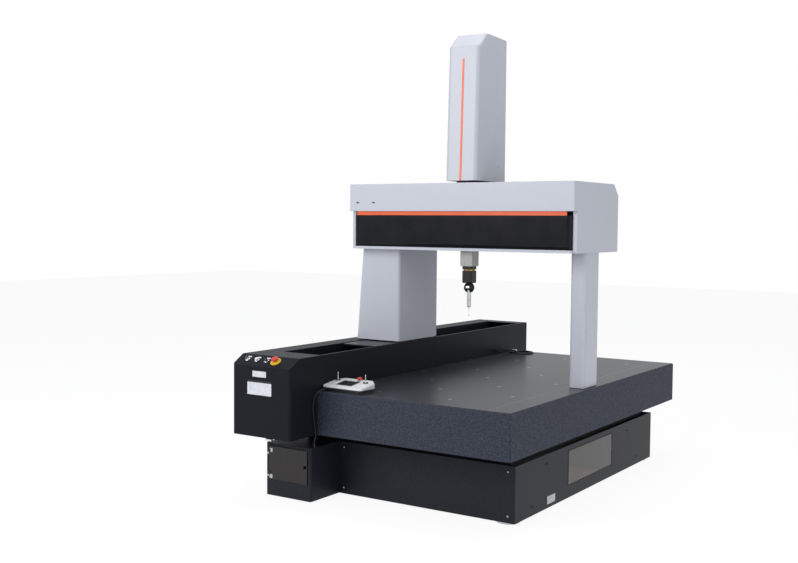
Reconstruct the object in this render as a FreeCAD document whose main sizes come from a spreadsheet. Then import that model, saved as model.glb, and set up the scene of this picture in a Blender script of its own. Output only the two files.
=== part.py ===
"""Bridge coordinate measuring machine: granite table, raised Y guide, moving bridge, Z tower and probe head.

Millimetres, +Z up. The origin is on the floor under the middle of the machine's overall box.
+X runs from the guide housing to the free leg, +Y from the operator to the back.
"""
import FreeCAD
import Part
import Sketcher
import math
import os
import re

doc = FreeCAD.newDocument("measuring_machine")
Vector = FreeCAD.Vector

# ---------------------------------------------------------------- driving dimensions
SIZES = {
    # sheet metal, fits and clearances
    "sheet": 3,                      # wall of every folded cover
    "joint_gap": 0.5,                # gap between two cover panels
    "air_gap": 0.3,                  # film under every air bearing pad
    "shaft_gap": 0.05,               # radial running clearance of pins, stems and spindles
    "cover_gap": 5,                  # gap of a moving cover over a fixed one
    # granite table on its base
    "table_left_inset": 76,          # table edge behind the guide housing's left side
    "table_length": 2320,
    "table_thickness": 240,
    "table_open_width": 1176,        # table to the right of the guide housing
    "table_bevel": 6,
    "isolator_height": 80,
    "isolator_radius": 75,
    "rail_to_top": 13,               # top of the base rails below the top of the panels
    "base_height": 293,
    "skirt_gap": 10,                 # panels above the floor
    "base_left_inset": 10,
    "base_right_inset": 75,
    "base_front_inset": 201,
    "base_back_inset": 200,
    "tube_width": 120,
    "tube_height": 120,
    "inner_tube_offset": 430,        # inner cross tubes from the middle of the base
    "rail_offset": 420,              # base rails from the middle of the base
    "foot_height": 15,
    "foot_radius": 60,
    "foot_inset": 70,
    "window_from_front": 637,        # smoked window in the right panel
    "window_length": 626,
    "window_height": 197,
    "window_low": 78,
    "window_thickness": 4,
    # threaded inserts, a staggered grid
    "insert_radius": 11,
    "insert_bore_radius": 4.25,
    "insert_depth": 25,
    "insert_column_pitch": 222,
    "insert_row_pitch": 271,
    "insert_from_right": 232,
    "insert_from_front": 188,
    # raised guide along the left edge of the table
    "guide_width": 400,
    "guide_rise": 191,
    "left_rim_width": 130,
    "right_rim_width": 14,
    "left_rim_drop": 86,
    "right_rim_drop": 30,
    "rear_box_depth": 182,
    "trough_front_inset": 35,
    "trough_back_overrun": 75,
    "rail_width": 160,
    "rail_height": 125,
    "rail_bevel": 8,
    "scale_width": 20,
    "scale_thickness": 6,
    "scale_rise": 20,
    # control cabinet with its sloping console, at the front of the guide
    "cabinet_depth": 236,
    "cabinet_round": 15,
    "console_rise": 50,
    "console_run": 84,
    "console_margin": 10,
    "console_plate_width": 312,
    "console_thickness": 1.5,
    "control_pitch": 66,
    "control_from_left": 69,
    "control_up_slope": 52,
    "bezel_radius": 14,
    "bezel_height": 3,
    "sleeve_radius": 12,
    "sleeve_length": 30,
    "button_radius": 10,
    "button_height": 6,
    "control_stem_radius": 8,        # stems and key barrel on the console
    "key_width": 20,
    "key_height": 16,
    "key_thickness": 2.5,
    "estop_collar_radius": 30,
    "estop_collar_height": 3,
    "estop_bezel_radius": 15,
    "estop_bezel_height": 9,
    "estop_head_radius": 20,
    "estop_head_height": 14,
    "press_travel": 4,
    # air preparation unit in front of the base
    "air_box_overhang": 58,
    "air_box_round": 12,
    "door_width": 265,
    "door_height": 184,
    "door_low": 102,
    "door_thickness": 5,
    "door_from_left": 28,
    "door_lap": 8,
    "hinge_radius": 5,
    "hinge_pin_radius": 2.5,
    "hinge_height": 30,
    "hinge_inset": 12,
    "door_knob_radius": 9,
    "door_knob_depth": 14,
    "manifold_width": 160,
    "manifold_depth": 60,
    "manifold_height": 40,
    "bowl_radius": 22,
    "bowl_height": 82,
    # bridge: column on the guide, free leg, beam
    "quill_from_front": 849,         # quill axis from the front of the table, at rest
    "quill_from_guide": 452,         # quill axis from the guide housing, at rest
    "bridge_clearance": 756,
    "beam_height": 390,
    "beam_depth": 610,
    "beam_front_to_quill": 120,
    "beam_band_height": 162,
    "beam_chamfer": 66,
    "beam_end_thickness": 24,
    "beam_end_setback": 37,
    "beam_end_round": 6,
    "beam_left_overhang": 35,
    "beam_right_overhang": 12,
    "beam_stripe_height": 24,
    "beam_panel_setback": 12,
    "beam_panel_round": 26,
    "beam_floor_height": 16,
    "core_depth": 215,
    "core_height": 220,
    "core_rise": 74,
    "core_from_quill": 86,
    "column_setback": 89,
    "column_depth": 443,
    "column_top_width": 276,
    "column_flare": 43,
    "column_post_width": 210,
    "column_post_depth": 340,
    "column_round": 18,
    "carriage_height": 48,
    "cheek_thickness": 20,
    "cheek_height": 85,
    "apron_length": 235,
    "apron_thickness": 8,
    "pad_thickness": 15,
    "pad_length": 110,
    "side_pad_height": 50,
    "leg_width": 96,
    "leg_depth": 186,
    "leg_setback": 196,
    "leg_inset": 26,
    "leg_post_width": 56,
    "leg_post_depth": 120,
    "leg_round": 20,
    # carriage on the beam with the Z tower
    "carriage_width": 180,
    "carriage_wall": 22,
    "z_guide_width": 116,
    "z_guide_height": 560,
    "spine_depth": 112,
    "spine_width": 120,
    "spine_height": 800,
    "tower_width": 206,
    "tower_depth": 352,
    "tower_height": 838,
    "tower_gap": 12,
    "tower_setback": 3,
    "tower_lean": 25,
    "tower_chamfer_drop": 74,
    "tower_chamfer_run": 81,
    "tower_top_fall": 10,
    "tower_seam": 228,
    "tower_round": 25,
    "tower_stripe_width": 12,
    "tower_stripe_from_top": 146,
    "stripe_thickness": 1.5,
    "slot_gap": 8,
    "travel_left": 382,
    "travel_right": 518,
    # quill and motorised probe head
    "quill_width": 80,
    "quill_wall": 7,
    "quill_bevel": 3,
    "quill_length": 973,
    "quill_drop": 89,                # quill end below the beam, at rest
    "head_width": 64,
    "head_chamfer": 5,
    "adapter_height": 19,
    "ring_height": 8,
    "ring_radius": 34,
    "head_height": 72,
    "head_round": 8,
    "knuckle_radius": 31,
    "knuckle_drop": 27,              # knuckle centre below the head body
    "spindle_radius": 20,
    "spindle_length": 12,
    "fork_slot": 30,
    "rotor_radius": 19,
    "rotor_side_gap": 0.1,
    "tilt_pin_radius": 4,
    "probe_radius": 12.5,
    "probe_length": 86,
    "probe_from_knuckle": 28,
    "stylus_radius": 2,
    "stylus_length": 48,
    "stylus_ball_radius": 3,
    # joystick box on the table
    "pendant_width": 268,
    "pendant_depth": 165,
    "pendant_base_height": 20,
    "pendant_front_rise": 10,        # white shell over the seam, along its front and its back
    "pendant_back_rise": 34,
    "pendant_edge": 5,
    "pendant_front_corner": 12,
    "pendant_back_corner": 40,
    "pendant_turn": -2,
    "pendant_from_guide": 140,
    "pendant_from_front": 108,
    "keypad_width": 112,
    "keypad_depth": 88,
    "keypad_left_shift": 12,
    "keypad_forward_shift": 5,
    "keypad_recess": 4,
    "relief_offset": 104,
    "boss_radius": 17,
    "boss_rise": 2,
    "stick_offset": 95,
    "stick_back": 12,
    "boot_radius": 14,
    "boot_bore_radius": 11,
    "boot_height": 6,
    "gimbal_radius": 10,
    "gimbal_bore_radius": 6.5,
    "gimbal_height": 5,
    "pivot_radius": 1,
    "stick_hub_radius": 5.5,
    "stick_radius": 2.5,
    "stick_length": 32,
    "stick_knob_radius": 3.5,
    "pendant_stop_offset": 26,
    "pendant_stop_back": 50,
    "pendant_stop_radius": 15,
    "pendant_stem_radius": 5,
    # cords
    "pendant_cord_diameter": 6,
    "gland_radius": 7,
    "gland_height": 19,
    "sensor_cord_diameter": 5,
    "coil_outer_radius": 95,
    "coil_inner_radius": 55,
    "coil_height": 20,
    "sensor_radius": 7,
    "sensor_length": 45,
}

# places that follow from the sizes
PLACES = {
    "left_side": "-(guide_width + table_open_width) / 2",
    "right_side": "left_side + guide_width + table_open_width",
    "guide_right": "left_side + guide_width",
    "front_end": "-(cabinet_depth + table_length + rear_box_depth) / 2",
    "table_front": "front_end + cabinet_depth",
    "table_back": "table_front + table_length",
    "rear_end": "table_back + rear_box_depth",
    "table_left": "left_side + table_left_inset",
    "base_left": "table_left + base_left_inset",
    "base_right": "right_side - base_right_inset",
    "base_front": "table_front + base_front_inset",
    "base_back": "table_back - base_back_inset",
    "base_middle_x": "(base_left + base_right) / 2",
    "base_middle_y": "(base_front + base_back) / 2",
    "base_top": "skirt_gap + base_height",
    "rail_top": "base_top - rail_to_top",
    "table_under": "rail_top + isolator_height",
    "table_top": "table_under + table_thickness",
    "housing_top": "table_top + guide_rise",
    "trough_left": "left_side + left_rim_width",
    "trough_right": "guide_right - right_rim_width",
    "trough_middle": "(trough_left + trough_right) / 2",
    "trough_front": "table_front + trough_front_inset",
    "trough_back": "table_back + trough_back_overrun",
    "guide_top": "table_top + rail_height",
    "console_front": "housing_top - console_rise",
    "console_angle": "atan(console_rise / console_run)",
    "quill_x": "guide_right + quill_from_guide",
    "quill_y": "table_front + quill_from_front",
    "beam_under": "table_top + bridge_clearance",
    "beam_top": "beam_under + beam_height",
    "beam_front": "quill_y - beam_front_to_quill",
    "beam_back": "beam_front + beam_depth",
    "column_right": "trough_right",
    "column_left": "column_right - column_top_width",
    "column_front": "beam_front + column_setback",
    "column_back": "column_front + column_depth",
    "column_foot": "housing_top + cover_gap",
    "column_middle_y": "(column_front + column_back) / 2",
    "leg_right": "right_side - leg_inset",
    "leg_left": "leg_right - leg_width",
    "leg_front": "beam_front + leg_setback",
    "leg_back": "leg_front + leg_depth",
    "beam_left": "column_left - beam_left_overhang",
    "beam_right": "leg_right + beam_right_overhang",
    "core_front": "quill_y + core_from_quill",
    "core_back": "core_front + core_depth",
    "core_under": "beam_under + core_rise",
    "core_top": "core_under + core_height",
    "saddle_top": "guide_top + air_gap + pad_thickness + carriage_height",
    "saddle_under": "guide_top + air_gap + pad_thickness",
    "band_under": "beam_top - beam_band_height",
    "stripe_under": "band_under - beam_stripe_height",
    "tower_left": "quill_x - tower_width / 2",
    "tower_right": "quill_x + tower_width / 2",
    "tower_foot": "beam_top + tower_gap",
    "tower_top": "tower_foot + tower_height",
    "tower_front": "beam_front + tower_setback",
    "tower_back": "tower_front + tower_depth",
    "tower_seam_y": "tower_front + tower_seam",
    "quill_foot": "beam_under - quill_drop",
    "ring_top": "quill_foot - adapter_height",
    "head_top": "ring_top - ring_height",
    "head_foot": "head_top - head_height",
    "knuckle_z": "head_foot - knuckle_drop",
    "pendant_x": "guide_right + pendant_from_guide",
    "pendant_y": "table_front + pendant_from_front",
    "pendant_slope": "(pendant_back_rise - pendant_front_rise) / pendant_depth",
    "pendant_middle": "pendant_base_height + (pendant_front_rise + pendant_back_rise) / 2",
    "stick_boss_top": "pendant_middle + pendant_slope * (stick_back + boss_radius) + boss_rise",
    "stop_boss_top": "pendant_middle + pendant_slope * (pendant_stop_back + boss_radius) + boss_rise",
}

sheet = doc.addObject("Spreadsheet::Sheet", "Sizes")
for row, (name, value) in enumerate(SIZES.items(), start=1):
    sheet.set(f"A{row}", name)
    sheet.set(f"B{row}", str(value))
    sheet.setAlias(f"B{row}", name)
doc.recompute()


# ---------------------------------------------------------------- tools
def bound(text):
    """The expression with each size as its sheet cell and each place written out."""
    def swap(found):
        word = found.group()
        if word in SIZES:
            return f"Sizes.{word}"
        if word in PLACES:
            return f"({bound(PLACES[word])})"
        return word
    return re.sub(r"[a-z][a-z_]+", swap, str(text))


def number(text):
    """What an expression comes to."""
    value = sheet.evalExpression(bound(text))
    return float(getattr(value, "Value", value))


def place(piece, x="0", y="0", z="0", angle=None, axis=(0, 0, 1)):
    """Put a piece's own origin at x, y, z, turned by an angle about an axis."""
    if angle is not None:
        piece.Placement = FreeCAD.Placement(Vector(0, 0, 0), FreeCAD.Rotation(Vector(*axis), 1))
        piece.setExpression("Placement.Rotation.Angle", bound(angle))
    piece.setExpression("Placement.Base.x", bound(x))
    piece.setExpression("Placement.Base.y", bound(y))
    piece.setExpression("Placement.Base.z", bound(z))


PIECES = []


def body(label):
    """A new sub-part as a PartDesign body."""
    piece = doc.addObject("PartDesign::Body", label)
    piece.Label = label
    PIECES.append(piece)
    return piece


def bar(label, x, y, z, length, width, height):
    """A new sub-part as a plain bar, from its low corner."""
    piece = doc.addObject("Part::Box", label)
    piece.Label = label
    piece.setExpression("Length", bound(length))
    piece.setExpression("Width", bound(width))
    piece.setExpression("Height", bound(height))
    place(piece, x, y, z)
    PIECES.append(piece)
    return piece


def rectangle(left, right, low, high):
    return [(left, low), (right, low), (right, high), (left, high)]


def sketch(piece, plane, loops, offset):
    """A fully constrained sketch on one of the body's own planes, moved along the plane's normal.

    A loop is a list of corners, or (x, y, radius) for a circle.
    """
    drawing = piece.newObject("Sketcher::SketchObject", f"{piece.Label}_{plane.lower()}")
    support = next(f for f in piece.Origin.OriginFeatures if f.Role == f"{plane}_Plane")
    drawing.AttachmentSupport = [(support, "")]
    drawing.MapMode = "FlatFace"
    drawing.setExpression("AttachmentOffset.Base.z", bound(offset))

    def fix(kind, edge, text):
        value = number(text)
        if kind == "Radius":
            index = drawing.addConstraint(Sketcher.Constraint(kind, edge, value))
        else:
            point = 3 if isinstance(drawing.Geometry[edge], Part.Circle) else 1
            index = drawing.addConstraint(Sketcher.Constraint(kind, -1, 1, edge, point, value))
        drawing.setExpression(f"Constraints[{index}]", bound(text))

    for loop in loops:
        if isinstance(loop, tuple):
            x, y, radius = loop
            centre = Vector(number(x), number(y), 0)
            edge = drawing.addGeometry(Part.Circle(centre, Vector(0, 0, 1), number(radius)), False)
            fix("DistanceX", edge, x)
            fix("DistanceY", edge, y)
            fix("Radius", edge, radius)
            continue
        corners = [Vector(number(x), number(y), 0) for x, y in loop]
        first = drawing.GeometryCount
        for start, end in zip(corners, corners[1:] + corners[:1]):
            drawing.addGeometry(Part.LineSegment(start, end), False)
        for step in range(len(loop)):
            after = first + (step + 1) % len(loop)
            drawing.addConstraint(Sketcher.Constraint("Coincident", first + step, 2, after, 1))
        for step, (x, y) in enumerate(loop):
            fix("DistanceX", first + step, x)
            fix("DistanceY", first + step, y)
    return drawing


def add(piece, plane, loops, low, high):
    """Pad closed loops from low to high along the plane's own axis of the body."""
    flip = plane == "XZ"
    feature = piece.newObject("PartDesign::Pad", f"{piece.Label}_pad")
    feature.Profile = sketch(piece, plane, loops, f"-({high})" if flip else low)
    feature.setExpression("Length", bound(f"({high}) - ({low})"))
    piece.Tip = feature
    return feature


def cut(piece, plane, loops, low, high):
    """Pocket closed loops from low to high along the plane's own axis of the body."""
    flip = plane == "XZ"
    feature = piece.newObject("PartDesign::Pocket", f"{piece.Label}_pocket")
    feature.Profile = sketch(piece, plane, loops, f"-({low})" if flip else high)
    feature.setExpression("Length", bound(f"({high}) - ({low})"))
    piece.Tip = feature
    return feature


def turn(piece, points, subtract=False, plane="XZ", line="V_Axis", offset="0"):
    """Revolve a half outline about a sketch axis, as added or cut material."""
    kind = "Groove" if subtract else "Revolution"
    feature = piece.newObject(f"PartDesign::{kind}", f"{piece.Label}_{kind.lower()}")
    drawing = sketch(piece, plane, [points], offset)
    feature.Profile = drawing
    feature.ReferenceAxis = (drawing, [line])
    feature.Angle = 360
    piece.Tip = feature
    return feature


def soften(piece, kind, size, chosen):
    """Fillet or chamfer the edges that chosen(edge) picks on the piece as it stands."""
    doc.recompute()
    base = piece.Tip
    names = [f"Edge{i}" for i, edge in enumerate(base.Shape.Edges, start=1) if chosen(edge)]
    feature = piece.newObject(f"PartDesign::{kind}", f"{piece.Label}_{kind.lower()}")
    feature.Base = (base, names)
    feature.setExpression("Radius" if kind == "Fillet" else "Size", bound(size))
    piece.Tip = feature
    return feature


def hollow(piece, chosen):
    """Shell a body to the cover thickness, open at the faces that chosen(face) picks."""
    doc.recompute()
    base = piece.Tip
    names = [f"Face{i}" for i, face in enumerate(base.Shape.Faces, start=1) if chosen(face)]
    feature = piece.newObject("PartDesign::Thickness", f"{piece.Label}_thickness")
    feature.Base = (base, names)
    feature.setExpression("Value", "Sizes.sheet")
    feature.Reversed = True
    piece.Tip = feature
    return feature


def level(face, text):
    return face.BoundBox.ZLength < 0.01 and near(face.CenterOfMass.z, text)


def repeat(piece, axis, length, count):
    """Copy everything in a body along one of its own axes, over a length."""
    doc.recompute()
    pattern = piece.newObject("PartDesign::LinearPattern", f"{piece.Label}_pattern")
    pattern.TransformMode = "Whole shape"
    line = next(f for f in piece.Origin.OriginFeatures if f.Role == f"{axis}_Axis")
    pattern.Direction = (line, [""])
    pattern.setExpression("Length", bound(length))
    pattern.Occurrences = count
    piece.Tip = pattern
    doc.recompute()


def along(edge, axis):
    """True if a straight edge runs along one axis."""
    if not isinstance(edge.Curve, Part.Line):
        return False
    return abs(abs(edge.Curve.Direction.dot(axis)) - 1) < 1e-6


def near(value, text):
    return abs(value - number(text)) < 0.01


X_AXIS = Vector(1, 0, 0)
Z_AXIS = Vector(0, 0, 1)


# ---------------------------------------------------------------- base
def base():
    feet = body("leveling_feet")
    foot_spots = []
    for x in ("base_left + foot_inset", "base_right - foot_inset"):
        for y in ("base_front + sheet + tube_width / 2", "base_back - sheet - tube_width / 2"):
            foot_spots.append((x, y, "foot_radius"))
    add(feet, "XY", foot_spots, "0", "foot_height")

    tubes = body("base_cross_tubes")
    tube_fronts = (
        "base_front + sheet",
        "base_middle_y - inner_tube_offset - tube_width / 2",
        "base_middle_y + inner_tube_offset - tube_width / 2",
        "base_back - sheet - tube_width",
    )
    ends = ("base_left + sheet", "base_right - sheet")
    add(tubes, "XY", [rectangle(*ends, y, f"{y} + tube_width") for y in tube_fronts],
        "foot_height", "foot_height + tube_height")

    rails = body("base_rails")
    middles = ("base_middle_x - rail_offset", "base_middle_x + rail_offset")
    add(rails, "XY",
        [rectangle(f"{x} - tube_width / 2", f"{x} + tube_width / 2", "base_front + sheet",
                   "base_back - sheet") for x in middles],
        "foot_height + tube_height", "rail_top")

    panels = body("base_panels")
    inner = "sheet + joint_gap"
    add(panels, "XY", [
        rectangle("base_left", "base_right", "base_front", "base_front + sheet"),
        rectangle("base_left", "base_right", "base_back - sheet", "base_back"),
        rectangle("base_left", "base_left + sheet", f"base_front + {inner}", f"base_back - ({inner})"),
        rectangle("base_right - sheet", "base_right", f"base_front + {inner}", f"base_back - ({inner})"),
    ], "skirt_gap", "base_top")
    window = ("base_front + window_from_front", "base_front + window_from_front + window_length",
              "window_low", "window_low + window_height")
    cut(panels, "YZ", [rectangle(*window)], "base_right - sheet", "base_right")

    pane = body("base_window")
    left, right, low, high = window
    add(pane, "YZ", [rectangle(f"{left} + air_gap", f"{right} - air_gap", f"{low} + air_gap",
                               f"{high} - air_gap")],
        "base_right - window_thickness", "base_right")

    isolators = body("isolators")
    place(isolators, "base_middle_x - rail_offset", "base_middle_y - inner_tube_offset", "rail_top")
    turn(isolators, [
        ("0", "0"),
        ("isolator_radius", "0"),
        ("isolator_radius", "isolator_height * 0.15"),
        ("isolator_radius * 0.8", "isolator_height * 0.25"),
        ("isolator_radius * 0.95", "isolator_height * 0.5"),
        ("isolator_radius * 0.8", "isolator_height * 0.75"),
        ("isolator_radius", "isolator_height * 0.85"),
        ("isolator_radius", "isolator_height"),
        ("0", "isolator_height"),
    ])
    repeat(isolators, "X", "rail_offset * 2", 2)
    repeat(isolators, "Y", "inner_tube_offset * 2", 2)


# ---------------------------------------------------------------- granite table
def insert_spots(radius):
    """The staggered grid of insert centres."""
    spots = []
    for column in range(5):
        for line in range(8):
            if (column + line) % 2 == 0:
                continue
            x = f"right_side - insert_from_right - insert_column_pitch * {column}"
            y = f"table_front + insert_from_front + insert_row_pitch * {line}"
            spots.append((x, y, radius))
    return spots


def table():
    granite = body("granite_table")
    add(granite, "XY", [rectangle("table_left", "right_side", "table_front", "table_back")],
        "table_under", "table_top")
    soften(granite, "Chamfer", "table_bevel",
           lambda edge: near(edge.CenterOfMass.z, "table_top") or along(edge, Z_AXIS))
    cut(granite, "XY", insert_spots("insert_radius + shaft_gap"), "table_top - insert_depth", "table_top")

    inserts = body("threaded_inserts")
    rings = insert_spots("insert_radius") + insert_spots("insert_bore_radius")
    add(inserts, "XY", rings, "table_top - insert_depth", "table_top")


# ---------------------------------------------------------------- raised Y guide
def guide():
    rail = body("y_guide_rail")
    left = "trough_middle - rail_width / 2"
    right = "trough_middle + rail_width / 2"
    add(rail, "XZ", [[
        (left, "table_top"),
        (right, "table_top"),
        (right, "guide_top - rail_bevel"),
        (f"{right} - rail_bevel", "guide_top"),
        (f"{left} + rail_bevel", "guide_top"),
        (left, "guide_top - rail_bevel"),
    ]], "trough_front", "table_back")

    bar("y_scale", f"{left} - scale_thickness", "trough_front", "table_top + scale_rise",
        "scale_thickness", "table_back - trough_front", "scale_width")

    housing = body("guide_housing")
    left_section = [
        ("left_side", "table_under"),
        ("left_side + sheet", "table_under"),
        ("left_side + sheet", "housing_top - sheet"),
        ("trough_left - sheet", "housing_top - sheet"),
        ("trough_left - sheet", "housing_top - left_rim_drop"),
        ("trough_left", "housing_top - left_rim_drop"),
        ("trough_left", "housing_top"),
        ("left_side", "housing_top"),
    ]
    right_section = [
        ("guide_right", "table_top + joint_gap"),
        ("guide_right", "housing_top"),
        ("trough_right", "housing_top"),
        ("trough_right", "housing_top - right_rim_drop"),
        ("trough_right + sheet", "housing_top - right_rim_drop"),
        ("trough_right + sheet", "housing_top - sheet"),
        ("guide_right - sheet", "housing_top - sheet"),
        ("guide_right - sheet", "table_top + joint_gap"),
    ]
    add(housing, "XZ", [left_section, right_section], "table_front", "rear_end")
    add(housing, "XY", [
        rectangle("left_side", "guide_right", "table_front", "trough_front"),
        rectangle("left_side", "guide_right", "trough_back", "rear_end"),
    ], "housing_top - sheet", "housing_top")
    add(housing, "XZ", [rectangle("left_side", "guide_right", "table_under", "housing_top")],
        "rear_end - sheet", "rear_end")
    add(housing, "XZ", [rectangle("trough_left - sheet", "guide_right", "table_top + joint_gap",
                                  "housing_top")], "table_front", "table_front + sheet")
    add(housing, "XY", [rectangle("left_side", "guide_right", "table_back + joint_gap", "rear_end")],
        "table_under", "table_under + sheet")
    add(housing, "YZ", [rectangle("table_back + joint_gap", "rear_end", "table_under", "housing_top")],
        "guide_right - sheet", "guide_right")


# ---------------------------------------------------------------- cabinet and console
def on_console(piece, across, up="control_up_slope", out="0"):
    """Put a piece on the sloping console: across from its left end, up its slope and out from its face."""
    place(piece, f"left_side + {across}",
          f"front_end + ({up}) * cos(console_angle) - ({out}) * sin(console_angle)",
          f"console_front + ({up}) * sin(console_angle) + ({out}) * cos(console_angle)",
          angle="console_angle", axis=(1, 0, 0))


def control(index):
    """How far across the console a control stands."""
    return f"control_from_left + control_pitch * {index}"


def bored(points_outer, bore, low, high):
    """Half outline of a turned ring: the outside from bottom to top, with a through bore."""
    return [(bore, low)] + points_outer + [(bore, high)]


def cabinet():
    shell = body("control_cabinet")
    add(shell, "YZ", [[
        ("front_end", "table_under"),
        ("table_front", "table_under"),
        ("table_front", "housing_top"),
        ("front_end + console_run", "housing_top"),
        ("front_end", "console_front"),
    ]], "left_side", "guide_right")
    soften(shell, "Fillet", "cabinet_round",
           lambda edge: along(edge, Z_AXIS) and near(edge.CenterOfMass.y, "front_end"))
    hollow(shell, lambda face: face.BoundBox.YLength < 0.01 and near(face.CenterOfMass.y, "table_front"))
    plate_run = "console_run / cos(console_angle) - 2 * console_margin"
    recess = shell.newObject("PartDesign::SubtractiveBox", "console_recess")
    recess.setExpression("Length", bound("console_plate_width + 2 * joint_gap"))
    recess.setExpression("Width", bound(f"{plate_run} + 2 * joint_gap"))
    recess.setExpression("Height", bound("console_thickness"))
    on_console(recess, "console_margin - joint_gap", "console_margin - joint_gap", "-console_thickness")
    shell.Tip = recess

    panel = body("console_panel")
    on_console(panel, "console_margin", "console_margin")
    add(panel, "XY", [rectangle("0", "console_plate_width", "0", plate_run)], "-console_thickness", "0")
    holes = [(f"{control(index)} - console_margin", "control_up_slope - console_margin",
              "sleeve_radius + shaft_gap") for index in range(4)]
    cut(panel, "XY", holes, "-console_thickness", "0")
    for index in range(4):
        hole = shell.newObject("PartDesign::SubtractiveCylinder", f"sleeve_hole_{index}")
        hole.setExpression("Radius", bound("sleeve_radius + shaft_gap"))
        hole.setExpression("Height", bound("2 * sleeve_length"))
        on_console(hole, control(index), out="-sleeve_length")
        shell.Tip = hole
    doc.recompute()

    bezels = body("control_bezels")
    on_console(bezels, control(0))
    turn(bezels, bored([
        ("sleeve_radius", "-sleeve_length"),
        ("sleeve_radius", "0"),
        ("bezel_radius", "0"),
        ("bezel_radius", "bezel_height * 0.6"),
        ("bezel_radius * 0.9", "bezel_height"),
    ], "control_stem_radius + shaft_gap", "-sleeve_length", "bezel_height"))
    repeat(bezels, "X", "2 * control_pitch", 3)

    key = body("console_key")
    on_console(key, control(0))
    turn(key, [
        ("0", "-sleeve_length"),
        ("control_stem_radius", "-sleeve_length"),
        ("control_stem_radius", "bezel_height + 1"),
        ("0", "bezel_height + 1"),
    ])
    add(key, "YZ", [rectangle("-key_width / 2", "key_width / 2", "bezel_height + 1",
                              "bezel_height + 1 + key_height")],
        "-key_thickness / 2", "key_thickness / 2")
    soften(key, "Fillet", "key_width / 4",
           lambda edge: along(edge, X_AXIS) and near(edge.CenterOfMass.z, "bezel_height + 1 + key_height"))

    for index, label in ((1, "start_button"), (2, "stop_button")):
        button = body(label)
        on_console(button, control(index))
        rise = "bezel_height + press_travel"
        turn(button, [
            ("0", "-sleeve_length"),
            ("control_stem_radius", "-sleeve_length"),
            ("control_stem_radius", rise),
            ("button_radius", rise),
            ("button_radius", f"{rise} + button_height * 0.7"),
            ("button_radius * 0.8", f"{rise} + button_height"),
            ("0", f"{rise} + button_height"),
        ])

    collar = body("estop_collar")
    on_console(collar, control(3))
    turn(collar, bored([
        ("sleeve_radius", "-sleeve_length"),
        ("sleeve_radius", "0"),
        ("estop_collar_radius", "0"),
        ("estop_collar_radius", "estop_collar_height"),
        ("estop_bezel_radius", "estop_collar_height"),
        ("estop_bezel_radius", "estop_bezel_height"),
    ], "control_stem_radius + shaft_gap", "-sleeve_length", "estop_bezel_height"))

    head = body("estop_head")
    on_console(head, control(3))
    rise = "estop_bezel_height + press_travel + air_gap"
    turn(head, [
        ("0", "-sleeve_length"),
        ("control_stem_radius", "-sleeve_length"),
        ("control_stem_radius", rise),
        ("estop_head_radius * 0.9", rise),
        ("estop_head_radius", f"{rise} + estop_head_height * 0.35"),
        ("estop_head_radius * 0.9", f"{rise} + estop_head_height * 0.75"),
        ("estop_head_radius * 0.55", f"{rise} + estop_head_height"),
        ("0", f"{rise} + estop_head_height"),
    ])


# ---------------------------------------------------------------- air preparation unit
def air_unit():
    box_front = "table_front - air_box_overhang"
    box = body("air_unit_box")
    add(box, "XY", [rectangle("base_left", "guide_right", box_front, "base_front")],
        "skirt_gap", "base_top")
    soften(box, "Fillet", "air_box_round",
           lambda edge: along(edge, Z_AXIS) and near(edge.CenterOfMass.y, box_front))
    hollow(box, lambda face: face.BoundBox.YLength < 0.01 and near(face.CenterOfMass.y, "base_front"))
    door_left = "base_left + door_from_left"
    opening = rectangle(f"{door_left} + door_lap", f"{door_left} + door_width - door_lap",
                        "door_low + door_lap", "door_low + door_height - door_lap")
    cut(box, "XZ", [opening], box_front, f"{box_front} + sheet")

    unit = body("air_service_unit")
    middle = "(base_left + guide_right) / 2"
    top = "door_low + door_height - 2 * door_lap"
    add(unit, "XY", [rectangle(f"{middle} - manifold_width / 2", f"{middle} + manifold_width / 2",
                               "base_front - manifold_depth", "base_front")],
        f"{top} - manifold_height", top)
    for side in (-1, 1):
        spot = (f"{middle} + {side} * manifold_width / 4", "base_front - manifold_depth / 2", "bowl_radius")
        add(unit, "XY", [spot], f"{top} - manifold_height - bowl_height", f"{top} - manifold_height")

    axis_x = f"{door_left} - hinge_inset + hinge_radius"
    axis_y = f"{box_front} - hinge_radius - joint_gap"
    hinge_lows = ("door_low + hinge_height / 2", "door_low + door_height - hinge_height * 1.5")
    hinges = body("air_unit_hinges")
    third = "hinge_height / 3"
    for low in hinge_lows:
        add(hinges, "XY", [rectangle(f"{axis_x} - 2 * hinge_radius", axis_x, axis_y, box_front)],
            low, f"{low} + {third}")
        add(hinges, "XY", [(axis_x, axis_y, "hinge_radius")], low, f"{low} + {third}")
        add(hinges, "XY", [(axis_x, axis_y, "hinge_pin_radius")], low, f"{low} + hinge_height")

    door = body("air_unit_door")
    plate_back = f"{box_front} - joint_gap"
    add(door, "XZ", [rectangle(f"{axis_x} + hinge_radius + joint_gap", f"{door_left} + door_width",
                               "door_low", "door_low + door_height")],
        f"{plate_back} - door_thickness", plate_back)
    for low in hinge_lows:
        start = f"{low} + {third} + air_gap"
        end = f"{low} + hinge_height"
        add(door, "XY", [(axis_x, axis_y, "hinge_radius")], start, end)
        add(door, "XY", [rectangle(axis_x, f"{axis_x} + 3 * hinge_radius", f"{axis_y} - hinge_radius / 2",
                                   f"{axis_y} + hinge_radius / 2")], start, end)
        cut(door, "XY", [(axis_x, axis_y, "hinge_pin_radius + shaft_gap")], start, end)
    knob = (f"{door_left} + door_width - 2.5 * door_knob_radius", "door_low + door_height / 2",
            "door_knob_radius")
    add(door, "XZ", [knob], f"{plate_back} - door_thickness - door_knob_depth",
        f"{plate_back} - door_thickness")


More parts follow.
